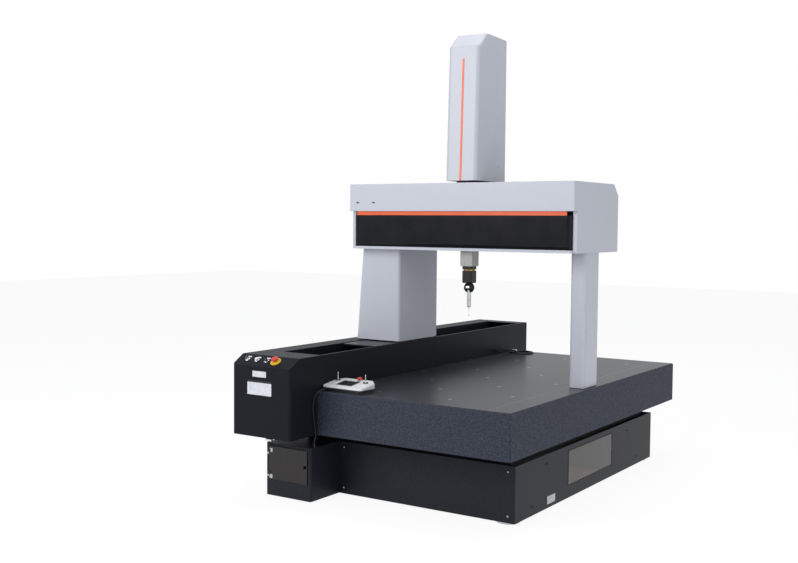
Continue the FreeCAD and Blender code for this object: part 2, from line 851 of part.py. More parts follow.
# ---------------------------------------------------------------- joystick box
def on_pendant(piece, x="0", y="0", z="0"):
    """Put a piece at a spot of the joystick box, which stands turned on the table."""
    place(piece, f"pendant_x + ({x}) * cos(pendant_turn) - ({y}) * sin(pendant_turn)",
          f"pendant_y + ({x}) * sin(pendant_turn) + ({y}) * cos(pendant_turn)",
          f"table_top + {z}", angle="pendant_turn")


def cut_corners(width, depth, front, back):
    """A rectangle about the origin with its front and back corners cut off."""
    side = f"({width}) / 2"
    end = f"({depth}) / 2"
    return [
        (f"-{side} + {front}", f"-{end}"),
        (f"{side} - {front}", f"-{end}"),
        (side, f"-{end} + {front}"),
        (side, f"{end} - {back}"),
        (f"{side} - {back}", end),
        (f"-{side} + {back}", end),
        (f"-{side}", f"{end} - {back}"),
        (f"-{side}", f"-{end} + {front}"),
    ]


def slab(front, back, low, high):
    """Side outline of a layer that follows the sloping top, from low to high over its surface."""
    def over(y, rise):
        return f"pendant_middle + pendant_slope * ({y}) + ({rise})"
    return [(front, over(front, low)), (back, over(back, low)), (back, over(back, high)),
            (front, over(front, high))]


def on_sloping_top(edge):
    middle = edge.CenterOfMass
    return abs(middle.z - number("pendant_middle") - number("pendant_slope") * middle.y) < 0.01


def pendant():
    base_shell = body("pendant_base")
    on_pendant(base_shell)
    front = "-(pendant_depth - 2 * gland_radius) / 2"
    add(base_shell, "XY", [cut_corners("pendant_width - 2 * gland_radius", "pendant_depth - 2 * gland_radius",
                                       "pendant_front_corner", "pendant_back_corner")],
        "0", "pendant_base_height")
    add(base_shell, "XZ", [("-relief_offset", "pendant_base_height / 2", "pendant_cord_diameter * 0.8")],
        f"{front} - 2 * pendant_cord_diameter - gland_radius", front)

    shell = body("pendant_shell")
    on_pendant(shell)
    add(shell, "XY", [cut_corners("pendant_width", "pendant_depth", "pendant_front_corner",
                                  "pendant_back_corner")],
        "pendant_base_height", "pendant_base_height + pendant_back_rise")
    end = "pendant_depth / 2"
    cut(shell, "YZ", [slab(f"-{end}", end, "0", "pendant_back_rise")],
        "-pendant_width / 2", "pendant_width / 2")
    soften(shell, "Chamfer", "pendant_edge", on_sloping_top)
    bosses = [("-stick_offset", "stick_back", "boss_radius"), ("stick_offset", "stick_back", "boss_radius")]
    add(shell, "XY", bosses, "pendant_base_height", "stick_boss_top")
    stop_spot = ("pendant_stop_offset", "pendant_stop_back")
    add(shell, "XY", [(*stop_spot, "boss_radius")], "pendant_base_height", "stop_boss_top")
    left = "-keypad_width / 2 - keypad_left_shift"
    right = "keypad_width / 2 - keypad_left_shift"
    near_side = "-keypad_depth / 2 - keypad_forward_shift"
    far_side = "keypad_depth / 2 - keypad_forward_shift"
    cut(shell, "YZ", [slab(near_side, far_side, "-keypad_recess", "keypad_recess")], left, right)
    cut(shell, "XY", [("-stick_offset", "stick_back", "boot_bore_radius"),
                      ("stick_offset", "stick_back", "boot_bore_radius")],
        "stick_boss_top - boot_bore_radius", "stick_boss_top")
    cut(shell, "XY", [(*stop_spot, "pendant_stem_radius + shaft_gap")],
        "stop_boss_top - 3 * pendant_stem_radius", "stop_boss_top")

    keypad = body("pendant_keypad")
    on_pendant(keypad)
    add(keypad, "YZ", [slab(f"{near_side} + air_gap", f"{far_side} - air_gap", "-keypad_recess",
                            "-keypad_recess / 2")], f"{left} + air_gap", f"{right} - air_gap")
    for column in range(4):
        x = f"{left} + keypad_width * {(column + 0.5) / 4}"
        rows = [f"{near_side} + keypad_depth * {(line + 0.5) / 4}" for line in range(4)]
        keys = [slab(f"{y} - keypad_depth / 12", f"{y} + keypad_depth / 12", "-keypad_recess / 2", "0")
                for y in rows]
        add(keypad, "YZ", keys, f"{x} - keypad_width / 11", f"{x} + keypad_width / 11")

    pivot = "stick_boss_top + boot_height / 2"
    boots = body("pendant_boots")
    on_pendant(boots)
    rings = [(f"{side} * stick_offset", "stick_back", radius) for side in (-1, 1)
             for radius in ("boot_radius", "boot_bore_radius")]
    add(boots, "XY", rings, "stick_boss_top", "stick_boss_top + boot_height")
    cut(boots, "YZ", [("stick_back", pivot, "pivot_radius + shaft_gap")],
        "-stick_offset - 2 * boot_radius", "stick_offset + 2 * boot_radius")

    gimbal = body("left_gimbal")
    on_pendant(gimbal, x="-stick_offset", y="stick_back", z=pivot)
    half = "gimbal_height / 2"
    add(gimbal, "XY", [("0", "0", "gimbal_radius"), ("0", "0", "gimbal_bore_radius")], f"-{half}", half)
    reach = "(boot_radius + boot_bore_radius) / 2 + pivot_radius"
    inside = "(gimbal_radius + gimbal_bore_radius) / 2"
    add(gimbal, "YZ", [("0", "0", "pivot_radius")], inside, reach)
    add(gimbal, "YZ", [("0", "0", "pivot_radius")], f"-({reach})", f"-({inside})")
    cut(gimbal, "XZ", [("0", "0", "pivot_radius + shaft_gap")], "-2 * gimbal_radius", "2 * gimbal_radius")

    for label, side, plane, pin in (("left_stick", -1, "XZ", "gimbal_radius - 2 * shaft_gap"),
                                    ("right_stick", 1, "YZ", reach)):
        stick = body(label)
        on_pendant(stick, x=f"{side} * stick_offset", y="stick_back", z=pivot)
        turn(stick, [
            ("0", "-stick_hub_radius"),
            ("stick_hub_radius * 0.7", "-stick_hub_radius * 0.7"),
            ("stick_hub_radius", "0"),
            ("stick_hub_radius * 0.7", "stick_hub_radius * 0.7"),
            ("stick_radius", "stick_hub_radius"),
            ("stick_radius", "stick_length"),
            ("stick_knob_radius", "stick_length + stick_knob_radius"),
            ("stick_knob_radius", "stick_length + 3 * stick_knob_radius"),
            ("0", "stick_length + 3.5 * stick_knob_radius"),
        ])
        add(stick, plane, [("0", "0", "pivot_radius")], f"-({pin})", pin)

    stop = body("pendant_stop")
    on_pendant(stop, x="pendant_stop_offset", y="pendant_stop_back", z="stop_boss_top")
    turn(stop, [
        ("0", "-1.5 * pendant_stem_radius"),
        ("pendant_stem_radius", "-1.5 * pendant_stem_radius"),
        ("pendant_stem_radius", "press_travel"),
        ("pendant_stop_radius * 0.9", "press_travel"),
        ("pendant_stop_radius", "press_travel + pendant_stop_radius * 0.35"),
        ("pendant_stop_radius * 0.85", "press_travel + pendant_stop_radius * 0.8"),
        ("0", "press_travel + pendant_stop_radius * 0.95"),
    ])


# ---------------------------------------------------------------- cords
def rounded_path(points):
    """Straight runs through the points, joined by the largest tangent arcs that the runs allow."""
    corners = [Vector(*point) for point in points]
    edges = []
    start = corners[0]
    for before, at, after in zip(corners, corners[1:], corners[2:]):
        back = (before - at).normalize()
        ahead = (after - at).normalize()
        bend = math.pi - back.getAngle(ahead)
        reach = 0.45 * min((before - at).Length, (after - at).Length)
        radius = reach / math.tan(bend / 2)
        enter = at + back * reach
        leave = at + ahead * reach
        middle = (back + ahead).normalize()
        centre = at + middle * (reach / math.sin(bend / 2))
        top = centre - middle * radius
        edges.append(Part.LineSegment(start, enter).toShape())
        edges.append(Part.Arc(enter, top, leave).toShape())
        start = leave
        print(f"cord bend radius {radius:.0f}")
    edges.append(Part.LineSegment(start, corners[-1]).toShape())
    return Part.Wire(edges)


def cord(label, points, diameter):
    """A free cord as a round tube along its route."""
    path = rounded_path(points)
    heading = Vector(*points[1]) - Vector(*points[0])
    ring = Part.Wire(Part.makeCircle(number(diameter) / 2, Vector(*points[0]), heading))
    tube = path.makePipeShell([ring], True, False)
    ideal = math.pi * (number(diameter) / 2) ** 2 * path.Length
    print(f"{label}: {path.Length:.0f} long, volume {tube.Volume / ideal:.4f} of section times length")
    piece = doc.addObject("Part::Feature", label)
    piece.Label = label
    piece.Shape = tube
    PIECES.append(piece)


PENDANT_CORD_ROUTE = [
    (-355.2, -1116.1, 620.0),
    (-357.5, -1146.0, 620.0),
    (-365.0, -1172.0, 606.0),
    (-374.0, -1186.0, 570.0),
    (-378.0, -1188.0, 520.0),
    (-379.0, -1178.0, 462.0),
    (-379.0, -1164.0, 405.0),
    (-379.5, -1156.0, 366.0),
    (-394.0, -1150.5, 347.0),
    (-396.0, -1150.0, 322.5),
]

SENSOR_LEAD_ROUTE = [
    (-375.7, 880.0, 640.0),
    (-340.0, 882.0, 639.0),
    (-318.0, 900.0, 613.6),
    (-312.0, 938.0, 612.6),
    (-290.0, 972.0, 612.6),
    (-256.0, 978.0, 612.6),
]
COIL_CENTRE = (-278.0, 1070.0)


def cords():
    glands = body("cable_glands")
    x, y = PENDANT_CORD_ROUTE[-1][:2]
    add(glands, "XY", [(x, y, "gland_radius")], "base_top", "base_top + gland_height")
    y, z = SENSOR_LEAD_ROUTE[0][1:]
    add(glands, "YZ", [(y, z, "gland_radius")], "guide_right", "guide_right + gland_height * 0.63")

    cord("pendant_cord", PENDANT_CORD_ROUTE, "pendant_cord_diameter")
    cord("sensor_lead", SENSOR_LEAD_ROUTE, "sensor_cord_diameter")

    coil = body("sensor_coil")
    place(coil, COIL_CENTRE[0], COIL_CENTRE[1], "table_top")
    add(coil, "XY", [("0", "0", "coil_outer_radius"), ("0", "0", "coil_inner_radius")], "0", "coil_height")

    sensor = body("temperature_sensor")
    place(sensor, COIL_CENTRE[0] - 20, f"{COIL_CENTRE[1]} - (coil_outer_radius + coil_inner_radius) / 2",
          "table_top + coil_height + sensor_radius")
    add(sensor, "YZ", [("0", "0", "sensor_radius")], "-sensor_length / 2", "sensor_length / 2")
    soften(sensor, "Chamfer", "sensor_radius / 5", lambda edge: isinstance(edge.Curve, Part.Circle))


# ---------------------------------------------------------------- bridge
def bridge():
    carriage = body("y_carriage")
    saddle = ("trough_left + 2 * cover_gap", "trough_right - 2 * cover_gap")
    add(carriage, "XY", [rectangle(*saddle, "column_front", "column_back")], "saddle_under", "saddle_top")
    cheeks = [
        rectangle(saddle[0], f"{saddle[0]} + cheek_thickness", "column_front", "column_back"),
        rectangle(f"{saddle[1]} - cheek_thickness", saddle[1], "column_front", "column_back"),
    ]
    add(carriage, "XY", cheeks, "saddle_under - cheek_height", "saddle_under")
    add(carriage, "XY", [rectangle(*saddle, "column_front - apron_length", "column_front")],
        "saddle_top - apron_thickness", "saddle_top")

    pads = body("air_pads")
    ends = (("column_front + pad_thickness", "column_front + pad_thickness + pad_length"),
            ("column_back - pad_thickness - pad_length", "column_back - pad_thickness"))
    tops = [rectangle("trough_middle - rail_width / 2 + pad_thickness",
                      "trough_middle + rail_width / 2 - pad_thickness", *end) for end in ends]
    add(pads, "XY", tops, "guide_top + air_gap", "saddle_under")
    sides = []
    for end in ends:
        sides.append(rectangle(f"{saddle[0]} + cheek_thickness",
                               "trough_middle - rail_width / 2 - air_gap", *end))
        sides.append(rectangle("trough_middle + rail_width / 2 + air_gap",
                               f"{saddle[1]} - cheek_thickness", *end))
    side_top = "guide_top - rail_bevel - air_gap"
    add(pads, "XY", sides, f"{side_top} - side_pad_height", side_top)
    leg_middle_x = "(leg_left + leg_right) / 2"
    leg_middle_y = "(leg_front + leg_back) / 2"
    leg_pad = rectangle("leg_left + leg_round / 2", "leg_right - leg_round / 2", "leg_front + leg_round / 2",
                        "leg_back - leg_round / 2")
    add(pads, "XY", [leg_pad], "table_top + air_gap", "table_top + air_gap + pad_thickness")

    column_post = rectangle("trough_middle - column_post_width / 2", "trough_middle + column_post_width / 2",
                            "column_middle_y - column_post_depth / 2",
                            "column_middle_y + column_post_depth / 2")
    post = body("column_post")
    add(post, "XY", [column_post], "saddle_top", "core_under")

    column = body("column_cover")
    add(column, "XZ", [[
        ("column_left - column_flare", "column_foot"),
        ("column_right", "column_foot"),
        ("column_right", "beam_under"),
        ("column_left", "beam_under"),
    ]], "column_front", "column_back")
    soften(column, "Fillet", "column_round",
           lambda edge: edge.BoundBox.ZLength > 1)
    hollow(column, lambda face: level(face, "column_foot") or level(face, "beam_under"))

    leg_post = body("leg_post")
    leg_post_outline = rectangle(f"{leg_middle_x} - leg_post_width / 2",
                                 f"{leg_middle_x} + leg_post_width / 2",
                                 f"{leg_middle_y} - leg_post_depth / 2",
                                 f"{leg_middle_y} + leg_post_depth / 2")
    add(leg_post, "XY", [leg_post_outline], "table_top + air_gap + pad_thickness", "core_under")

    leg = body("leg_cover")
    leg_foot = "table_top + sheet"
    add(leg, "XY", [rectangle("leg_left", "leg_right", "leg_front", "leg_back")], leg_foot, "beam_under")
    soften(leg, "Fillet", "leg_round", lambda edge: along(edge, Z_AXIS))
    hollow(leg, lambda face: level(face, leg_foot) or level(face, "beam_under"))

    inside_left = "beam_left + beam_end_thickness"
    inside_right = "beam_right - beam_end_thickness"
    bar("beam_core", f"{inside_left} + joint_gap", "core_front", "core_under",
        f"({inside_right}) - ({inside_left}) - 2 * joint_gap", "core_depth", "core_height")

    floor = body("beam_floor")
    floor_front = "beam_front + beam_panel_setback"
    add(floor, "XY", [rectangle(inside_left, inside_right, floor_front, "beam_back - sheet")],
        "beam_under", "beam_under + beam_floor_height")
    slot = rectangle("quill_x - travel_left - quill_width / 2 - slot_gap",
                     "quill_x + travel_right + quill_width / 2 + slot_gap",
                     "quill_y - quill_width / 2 - slot_gap", "quill_y + quill_width / 2 + slot_gap")
    holes = []
    for low_x, high_x, low_y, high_y in (
            ("trough_middle - column_post_width / 2", "trough_middle + column_post_width / 2",
             "column_middle_y - column_post_depth / 2", "column_middle_y + column_post_depth / 2"),
            (f"{leg_middle_x} - leg_post_width / 2", f"{leg_middle_x} + leg_post_width / 2",
             f"{leg_middle_y} - leg_post_depth / 2", f"{leg_middle_y} + leg_post_depth / 2")):
        holes.append(rectangle(f"{low_x} - joint_gap", f"{high_x} + joint_gap",
                               f"{low_y} - joint_gap", f"{high_y} + joint_gap"))
    cut(floor, "XY", [slot] + holes, "beam_under", "beam_under + beam_floor_height")

    cover = body("beam_cover")
    bend = "sheet * 0.414"
    add(cover, "YZ", [[
        ("beam_front", "band_under"),
        ("beam_front", "beam_top"),
        ("beam_back - beam_chamfer", "beam_top"),
        ("beam_back", "beam_top - beam_chamfer"),
        ("beam_back", "beam_under"),
        ("beam_back - sheet", "beam_under"),
        ("beam_back - sheet", f"beam_top - beam_chamfer - {bend}"),
        (f"beam_back - beam_chamfer - {bend}", "beam_top - sheet"),
        ("beam_front + sheet", "beam_top - sheet"),
        ("beam_front + sheet", "band_under"),
    ]], inside_left, inside_right)
    end_profile = [
        ("beam_front", "band_under"),
        ("beam_front", "beam_top"),
        ("beam_back - beam_chamfer", "beam_top"),
        ("beam_back", "beam_top - beam_chamfer"),
        ("beam_back", "beam_under"),
        ("beam_front + beam_end_setback", "beam_under"),
        ("beam_front + beam_end_setback", "band_under"),
    ]
    add(cover, "YZ", [end_profile], "beam_left", inside_left)
    add(cover, "YZ", [end_profile], inside_right, "beam_right")
    soften(cover, "Fillet", "beam_end_round",
           lambda edge: along(edge, Z_AXIS) and near(edge.CenterOfMass.y, "beam_front")
           and (near(edge.CenterOfMass.x, "beam_left") or near(edge.CenterOfMass.x, "beam_right")))
    spine_back = "tower_back - sheet - air_gap"
    cut(cover, "XY", [rectangle("quill_x - travel_left - spine_width / 2 - slot_gap",
                                "quill_x + travel_right + spine_width / 2 + slot_gap",
                                "quill_y - z_guide_width / 2 - slot_gap", f"{spine_back} + slot_gap")],
        "beam_top - sheet", "beam_top")

    panel = body("beam_front_panel")
    panel_front = "beam_front + beam_panel_setback"
    panel_back = "beam_front + beam_end_setback + beam_panel_round / 2"
    add(panel, "XY", [rectangle(inside_left, inside_right, panel_front, panel_back)],
        "beam_under + beam_floor_height", "stripe_under")
    soften(panel, "Fillet", "beam_panel_round",
           lambda edge: near(edge.CenterOfMass.y, panel_front)
           and not near(edge.CenterOfMass.z, "stripe_under"))
    hollow(panel, lambda face: face.BoundBox.YLength < 0.01 and near(face.CenterOfMass.y, panel_back))

    stripe = body("beam_stripe")
    add(stripe, "XY", [rectangle(f"{inside_left} + beam_panel_round", f"{inside_right} - beam_panel_round",
                                 f"{panel_front} - stripe_thickness", f"{panel_front} + sheet")],
        "stripe_under", "band_under")


# ---------------------------------------------------------------- X carriage and Z tower
def tower():
    carriage = body("x_carriage")
    ring_front = "quill_y + z_guide_width / 2"
    ring_back = "core_back + air_gap + carriage_wall"
    ring_low = "core_under - air_gap - carriage_wall"
    ring_high = "core_top + air_gap + carriage_wall"
    left = "quill_x - carriage_width / 2"
    right = "quill_x + carriage_width / 2"
    add(carriage, "YZ", [
        rectangle(ring_front, ring_back, ring_low, ring_high),
        rectangle("core_front - air_gap", "core_back + air_gap", "core_under - air_gap",
                  "core_top + air_gap"),
    ], left, right)
    spine_back = "tower_back - sheet - air_gap"
    spine = ("quill_x - spine_width / 2", "quill_x + spine_width / 2", f"{spine_back} - spine_depth",
             spine_back)
    wall = "carriage_wall / 2"
    add(carriage, "XY", [
        rectangle(*spine),
        rectangle(f"{spine[0]} + {wall}", f"{spine[1]} - {wall}", f"{spine[2]} + {wall}",
                  f"{spine[3]} - {wall}"),
    ], ring_high, f"{ring_high} + spine_height")

    guide_tube = body("z_guide")
    half = "z_guide_width / 2"
    bore = "(quill_width / 2 + air_gap)"
    add(guide_tube, "XY", [
        rectangle(f"quill_x - {half}", f"quill_x + {half}", f"quill_y - {half}", f"quill_y + {half}"),
        rectangle(f"quill_x - {bore}", f"quill_x + {bore}", f"quill_y - {bore}", f"quill_y + {bore}"),
    ], ring_low, f"{ring_low} + z_guide_height")

    chamfer_y = "tower_front + tower_lean + tower_chamfer_run"

    def roof(y):
        return f"tower_top - tower_top_fall * (({y}) - ({chamfer_y})) / (tower_back - ({chamfer_y}))"

    front = body("tower_front_cover")
    add(front, "YZ", [[
        ("tower_front", "tower_foot"),
        ("tower_seam_y", "tower_foot"),
        ("tower_seam_y", roof("tower_seam_y")),
        (chamfer_y, "tower_top"),
        ("tower_front + tower_lean", "tower_top - tower_chamfer_drop"),
    ]], "tower_left", "tower_right")
    soften(front, "Fillet", "tower_round",
           lambda edge: edge.BoundBox.XLength < 0.01 and edge.BoundBox.ZLength > 20
           and edge.CenterOfMass.y < number("tower_seam_y") - 1)
    hollow(front, lambda face: level(face, "tower_foot")
           or (face.BoundBox.YLength < 0.01 and near(face.CenterOfMass.y, "tower_seam_y")))

    seam = "tower_seam_y + joint_gap"
    rear = body("tower_rear_cover")
    add(rear, "YZ", [[
        (seam, "tower_foot"),
        ("tower_back", "tower_foot"),
        ("tower_back", roof("tower_back")),
        (seam, roof(seam)),
    ]], "tower_left", "tower_right")
    soften(rear, "Fillet", "tower_round / 3",
           lambda edge: along(edge, Z_AXIS) and near(edge.CenterOfMass.y, "tower_back"))
    hollow(rear, lambda face: level(face, "tower_foot")
           or (face.BoundBox.YLength < 0.01 and near(face.CenterOfMass.y, seam)))

    stripe = body("tower_stripe")
    stripe_top = "tower_top - tower_stripe_from_top"
    rise = f"(({stripe_top}) - tower_foot) / (tower_height - tower_chamfer_drop)"
    face_y = f"tower_front + tower_lean * {rise}"
    add(stripe, "YZ", [[
        ("tower_front - stripe_thickness", "tower_foot"),
        ("tower_front", "tower_foot"),
        (face_y, stripe_top),
        (f"{face_y} - stripe_thickness", stripe_top),
    ]], "quill_x - tower_stripe_width / 2", "quill_x + tower_stripe_width / 2")


# ---------------------------------------------------------------- quill and probe head
def square(width):
    return rectangle(f"-{width} / 2", f"{width} / 2", f"-{width} / 2", f"{width} / 2")


def head():
    quill = body("quill")
    place(quill, "quill_x", "quill_y", "quill_foot")
    add(quill, "XY", [square("quill_width")], "0", "quill_length")
    soften(quill, "Chamfer", "quill_bevel", lambda edge: along(edge, Z_AXIS))
    cut(quill, "XY", [square("(quill_width - 2 * quill_wall)")], "2 * quill_wall", "quill_length")

    adapter = body("quill_adapter")
    place(adapter, "quill_x", "quill_y", "ring_top")
    add(adapter, "XY", [square("head_width")], "0", "adapter_height")
    soften(adapter, "Fillet", "head_round", lambda edge: along(edge, Z_AXIS))

    ring = body("head_ring")
    place(ring, "quill_x", "quill_y", "head_top")
    add(ring, "XY", [("0", "0", "ring_radius")], "0", "ring_height")
    soften(ring, "Chamfer", "ring_height / 6", lambda edge: isinstance(edge.Curve, Part.Circle))

    motor_box = body("head_body")
    place(motor_box, "quill_x", "quill_y", "head_foot")
    add(motor_box, "XY", [square("head_width")], "0", "head_height")
    soften(motor_box, "Fillet", "head_round", lambda edge: along(edge, Z_AXIS))
    soften(motor_box, "Chamfer", "head_chamfer", lambda edge: near(edge.CenterOfMass.z, "0"))
    cut(motor_box, "XY", [("0", "0", "spindle_radius + shaft_gap")], "0", "spindle_length")

    knuckle = body("head_knuckle")
    place(knuckle, "quill_x", "quill_y", "knuckle_z")
    ball = knuckle.newObject("PartDesign::AdditiveSphere", "knuckle_ball")
    ball.setExpression("Radius", bound("knuckle_radius"))
    knuckle.Tip = ball
    doc.recompute()
    brim = "knuckle_drop - air_gap"
    cut(knuckle, "XY", [square("3 * knuckle_radius")], brim, "2 * knuckle_radius")
    add(knuckle, "XY", [("0", "0", "spindle_radius")], f"{brim} - sheet", f"{brim} + spindle_length")
    open_end = "2 * knuckle_radius"
    cut(knuckle, "YZ", [rectangle(f"-{open_end}", "rotor_radius + cover_gap", f"-{open_end}",
                                  "rotor_radius + air_gap * 5")], "-fork_slot / 2", "fork_slot / 2")
    add(knuckle, "YZ", [("0", "0", "tilt_pin_radius")], "-knuckle_radius * 0.8", "knuckle_radius * 0.8")

    mount = body("probe_mount")
    place(mount, "quill_x", "quill_y", "knuckle_z")
    cheek = "fork_slot / 2 - rotor_side_gap"
    add(mount, "YZ", [("0", "0", "rotor_radius")], f"-({cheek})", cheek)
    add(mount, "XY", [("0", "0", "probe_radius")], "-probe_from_knuckle", "-rotor_radius / 2")
    cut(mount, "YZ", [("0", "0", "tilt_pin_radius + shaft_gap")], "-fork_slot", "fork_slot")

    probe = body("probe")
    place(probe, "quill_x", "quill_y", "knuckle_z - probe_from_knuckle")
    turn(probe, [
        ("0", "-probe_length"),
        ("probe_radius * 0.6", "-probe_length"),
        ("probe_radius", "-probe_length + probe_radius * 0.3"),
        ("probe_radius", "-probe_length * 0.55"),
        ("probe_radius * 0.94", "-probe_length * 0.54"),
        ("probe_radius * 0.94", "-probe_length * 0.5"),
        ("probe_radius", "-probe_length * 0.49"),
        ("probe_radius", "0"),
        ("0", "0"),
    ])

    stylus = body("stylus")
    place(stylus, "quill_x", "quill_y", "knuckle_z - probe_from_knuckle - probe_length")
    turn(stylus, [
        ("0", "-stylus_length"),
        ("stylus_radius * 0.6", "-stylus_length"),
        ("stylus_radius * 0.6", "-stylus_length / 3"),
        ("stylus_radius", "-stylus_length / 3"),
        ("stylus_radius * 1.5", "0"),
        ("0", "0"),
    ])
    tip = stylus.newObject("PartDesign::AdditiveSphere", "stylus_ball")
    tip.setExpression("Radius", bound("stylus_ball_radius"))
    place(tip, "0", "0", "-stylus_length")
    stylus.Tip = tip


base()
table()
guide()
cabinet()
air_unit()
pendant()
cords()
bridge()
tower()
head()
doc.recompute()

faults = [item.Label for item in doc.Objects if {"Invalid", "Error"} & set(item.State)]
faults += [piece.Label for piece in PIECES if piece.Shape.isNull() or not piece.Shape.isValid()]
if faults:
    raise SystemExit(f"failed: {sorted(set(faults))}")

os.makedirs("parts", exist_ok=True)
for piece in PIECES:
    piece.Shape.exportStep(f"parts/{piece.Label}.step")
print(f"{len(PIECES)} pieces, {sum(len(piece.Shape.Solids) for piece in PIECES)} solids")
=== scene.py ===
"""A moving-bridge coordinate measuring machine, dressed around its CAD frame. Metres, +Z up."""

import math

import bmesh
import bpy
from mathutils import Matrix, Vector


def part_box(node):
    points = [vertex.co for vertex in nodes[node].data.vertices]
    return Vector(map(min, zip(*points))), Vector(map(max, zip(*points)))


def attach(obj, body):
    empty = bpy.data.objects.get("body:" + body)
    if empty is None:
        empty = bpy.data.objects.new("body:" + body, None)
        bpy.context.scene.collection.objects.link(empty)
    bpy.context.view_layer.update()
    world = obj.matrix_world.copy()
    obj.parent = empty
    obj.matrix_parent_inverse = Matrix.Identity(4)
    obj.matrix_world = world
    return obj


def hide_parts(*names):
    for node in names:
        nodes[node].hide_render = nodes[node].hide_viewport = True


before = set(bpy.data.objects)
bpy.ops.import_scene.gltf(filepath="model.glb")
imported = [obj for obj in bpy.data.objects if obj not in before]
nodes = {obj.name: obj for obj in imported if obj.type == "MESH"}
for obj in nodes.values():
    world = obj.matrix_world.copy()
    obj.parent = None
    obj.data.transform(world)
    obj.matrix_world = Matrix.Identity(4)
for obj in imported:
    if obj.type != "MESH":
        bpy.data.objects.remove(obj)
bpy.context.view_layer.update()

# ---------------------------------------------------------------- camera
# A 48 mm lens at eye height, off the right front corner of the machine and a little above its beam's
# underside. It looks back across the table, turned 33.5 degrees left of the machine's own length.
camera_data = bpy.data.cameras.new("camera")
camera_data.lens = 47.76
camera_data.sensor_width = 36
camera_data.clip_end = 60
camera = bpy.data.objects.new("camera", camera_data)
bpy.context.scene.collection.objects.link(camera)
bpy.context.scene.camera = camera
camera.matrix_world = (
    Matrix.Translation((3.1227, -5.6446, 1.5163))
    @ Matrix.Rotation(math.radians(33.51), 4, "Z")
    @ Matrix.Rotation(math.radians(90 - 3.098), 4, "X")
    @ Matrix.Rotation(math.radians(0.472), 4, "Z")
)


# ---------------------------------------------------------------- cords
# Two leads with an extruded PVC jacket. The joystick box's hangs over the front edge of the table to a
# gland on the cabinet's foot, and the workpiece temperature sensor's is wound in a flat coil at the back
# of the table.
def linear(hex_code):
    """The linear RGBA of an sRGB hex colour."""
    parts = [int(hex_code[i:i + 2], 16) / 255 for i in (0, 2, 4)]
    return [p / 12.92 if p <= 0.04045 else ((p + 0.055) / 1.055) ** 2.4 for p in parts] + [1.0]


def add_node(material, kind, settings, links):
    """Add one shader node: settings are its properties or input values, links join outputs to it."""
    node = material.node_tree.nodes.new("ShaderNode" + kind)
    for name, value in settings.items():
        if isinstance(name, str) and hasattr(node, name):
            setattr(node, name, value)
        else:
            node.inputs[name].default_value = value
    for name, output in links.items():
        material.node_tree.links.new(output, node.inputs[name])
    return node


def start_finish(name, hex_code, roughness, metallic=0.0, **more):
    """A new material with its shader set to one colour, roughness and metallic value. Returns both."""
    material = bpy.data.materials.new(name)
    material.use_nodes = True
    shader = material.node_tree.nodes["Principled BSDF"]
    shader.inputs["Base Color"].default_value = linear(hex_code)
    shader.inputs["Roughness"].default_value = roughness
    shader.inputs["Metallic"].default_value = metallic
    for socket, value in more.items():
        shader.inputs[socket.replace("_", " ")].default_value = value
    return material, shader


def mottle(material, shader, grain_mm, colours, spread, bump_mm=0.0, rough=None, stretch=(1, 1, 1)):
    """Vary a finish over its surface at a grain size, drawn out along an axis by stretch.

    The noise between the two values of spread runs over the two colours, and over the two roughnesses of
    rough, and raises the surface by bump_mm.
    """
    place = add_node(material, "TexCoord", {}, {})
    mapping = add_node(material, "Mapping", {"Scale": stretch}, {"Vector": place.outputs["Object"]})
    noise = add_node(material, "TexNoise", {"Scale": 1000 / grain_mm, "Detail": 3.0, "Roughness": 0.6},
                     {"Vector": mapping.outputs["Vector"]})
    ramp = add_node(material, "ValToRGB", {}, {"Fac": noise.outputs["Fac"]})
    for stop, position, colour in zip(ramp.color_ramp.elements, spread, colours):
        stop.position = position
        stop.color = linear(colour)
    material.node_tree.links.new(ramp.outputs["Color"], shader.inputs["Base Color"])
    if bump_mm:
        bump = add_node(material, "Bump", {"Strength": 0.5, "Distance": bump_mm / 1000},
                        {"Height": noise.outputs["Fac"]})
        material.node_tree.links.new(bump.outputs["Normal"], shader.inputs["Normal"])
    if rough:
        dull = add_node(material, "MapRange", {"From Min": spread[0], "From Max": spread[1],
                                               "To Min": rough[0], "To Max": rough[1]},
                        {"Value": noise.outputs["Fac"]})
        material.node_tree.links.new(dull.outputs["Result"], shader.inputs["Roughness"])


# black PVC, extruded: a slightly uneven dull sheen along the lead
jacket, jacket_shader = start_finish("extruded PVC jacket", "101114", 0.5)
mottle(jacket, jacket_shader, 4, ("0c0d10", "17181b"), (0.35, 0.65), bump_mm=0.1, rough=(0.45, 0.6))


def lay_cord(name, route, diameter):
    """A round cord along the smooth line of its route's points. Returns it, its line and its length."""
    curve = bpy.data.curves.new(name, "CURVE")
    curve.dimensions = "3D"
    curve.bevel_resolution = 3
    curve.resolution_u = 6
    curve.use_fill_caps = True
    spline = curve.splines.new("NURBS")
    spline.points.add(len(route) - 1)
    for point, place in zip(spline.points, route):
        point.co = (*place, 1)
    spline.order_u = 3
    spline.use_endpoint_u = True
    line = bpy.data.objects.new(name + "_line", curve)
    bpy.context.scene.collection.objects.link(line)
    path = [vertex.co.copy() for vertex in bpy.data.meshes.new_from_object(line).vertices]
    curve.bevel_depth = diameter / 2
    bpy.context.view_layer.update()
    tube = bpy.data.meshes.new_from_object(line)
    tube.name = name
    tube.shade_smooth()
    tube.materials.clear()
    tube.materials.append(jacket)
    bpy.data.objects.remove(line)
    cord = bpy.data.objects.new(name, tube)
    bpy.context.scene.collection.objects.link(cord)
    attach(cord, "root")
    return cord, path, sum((after - before).length for before, after in zip(path, path[1:]))


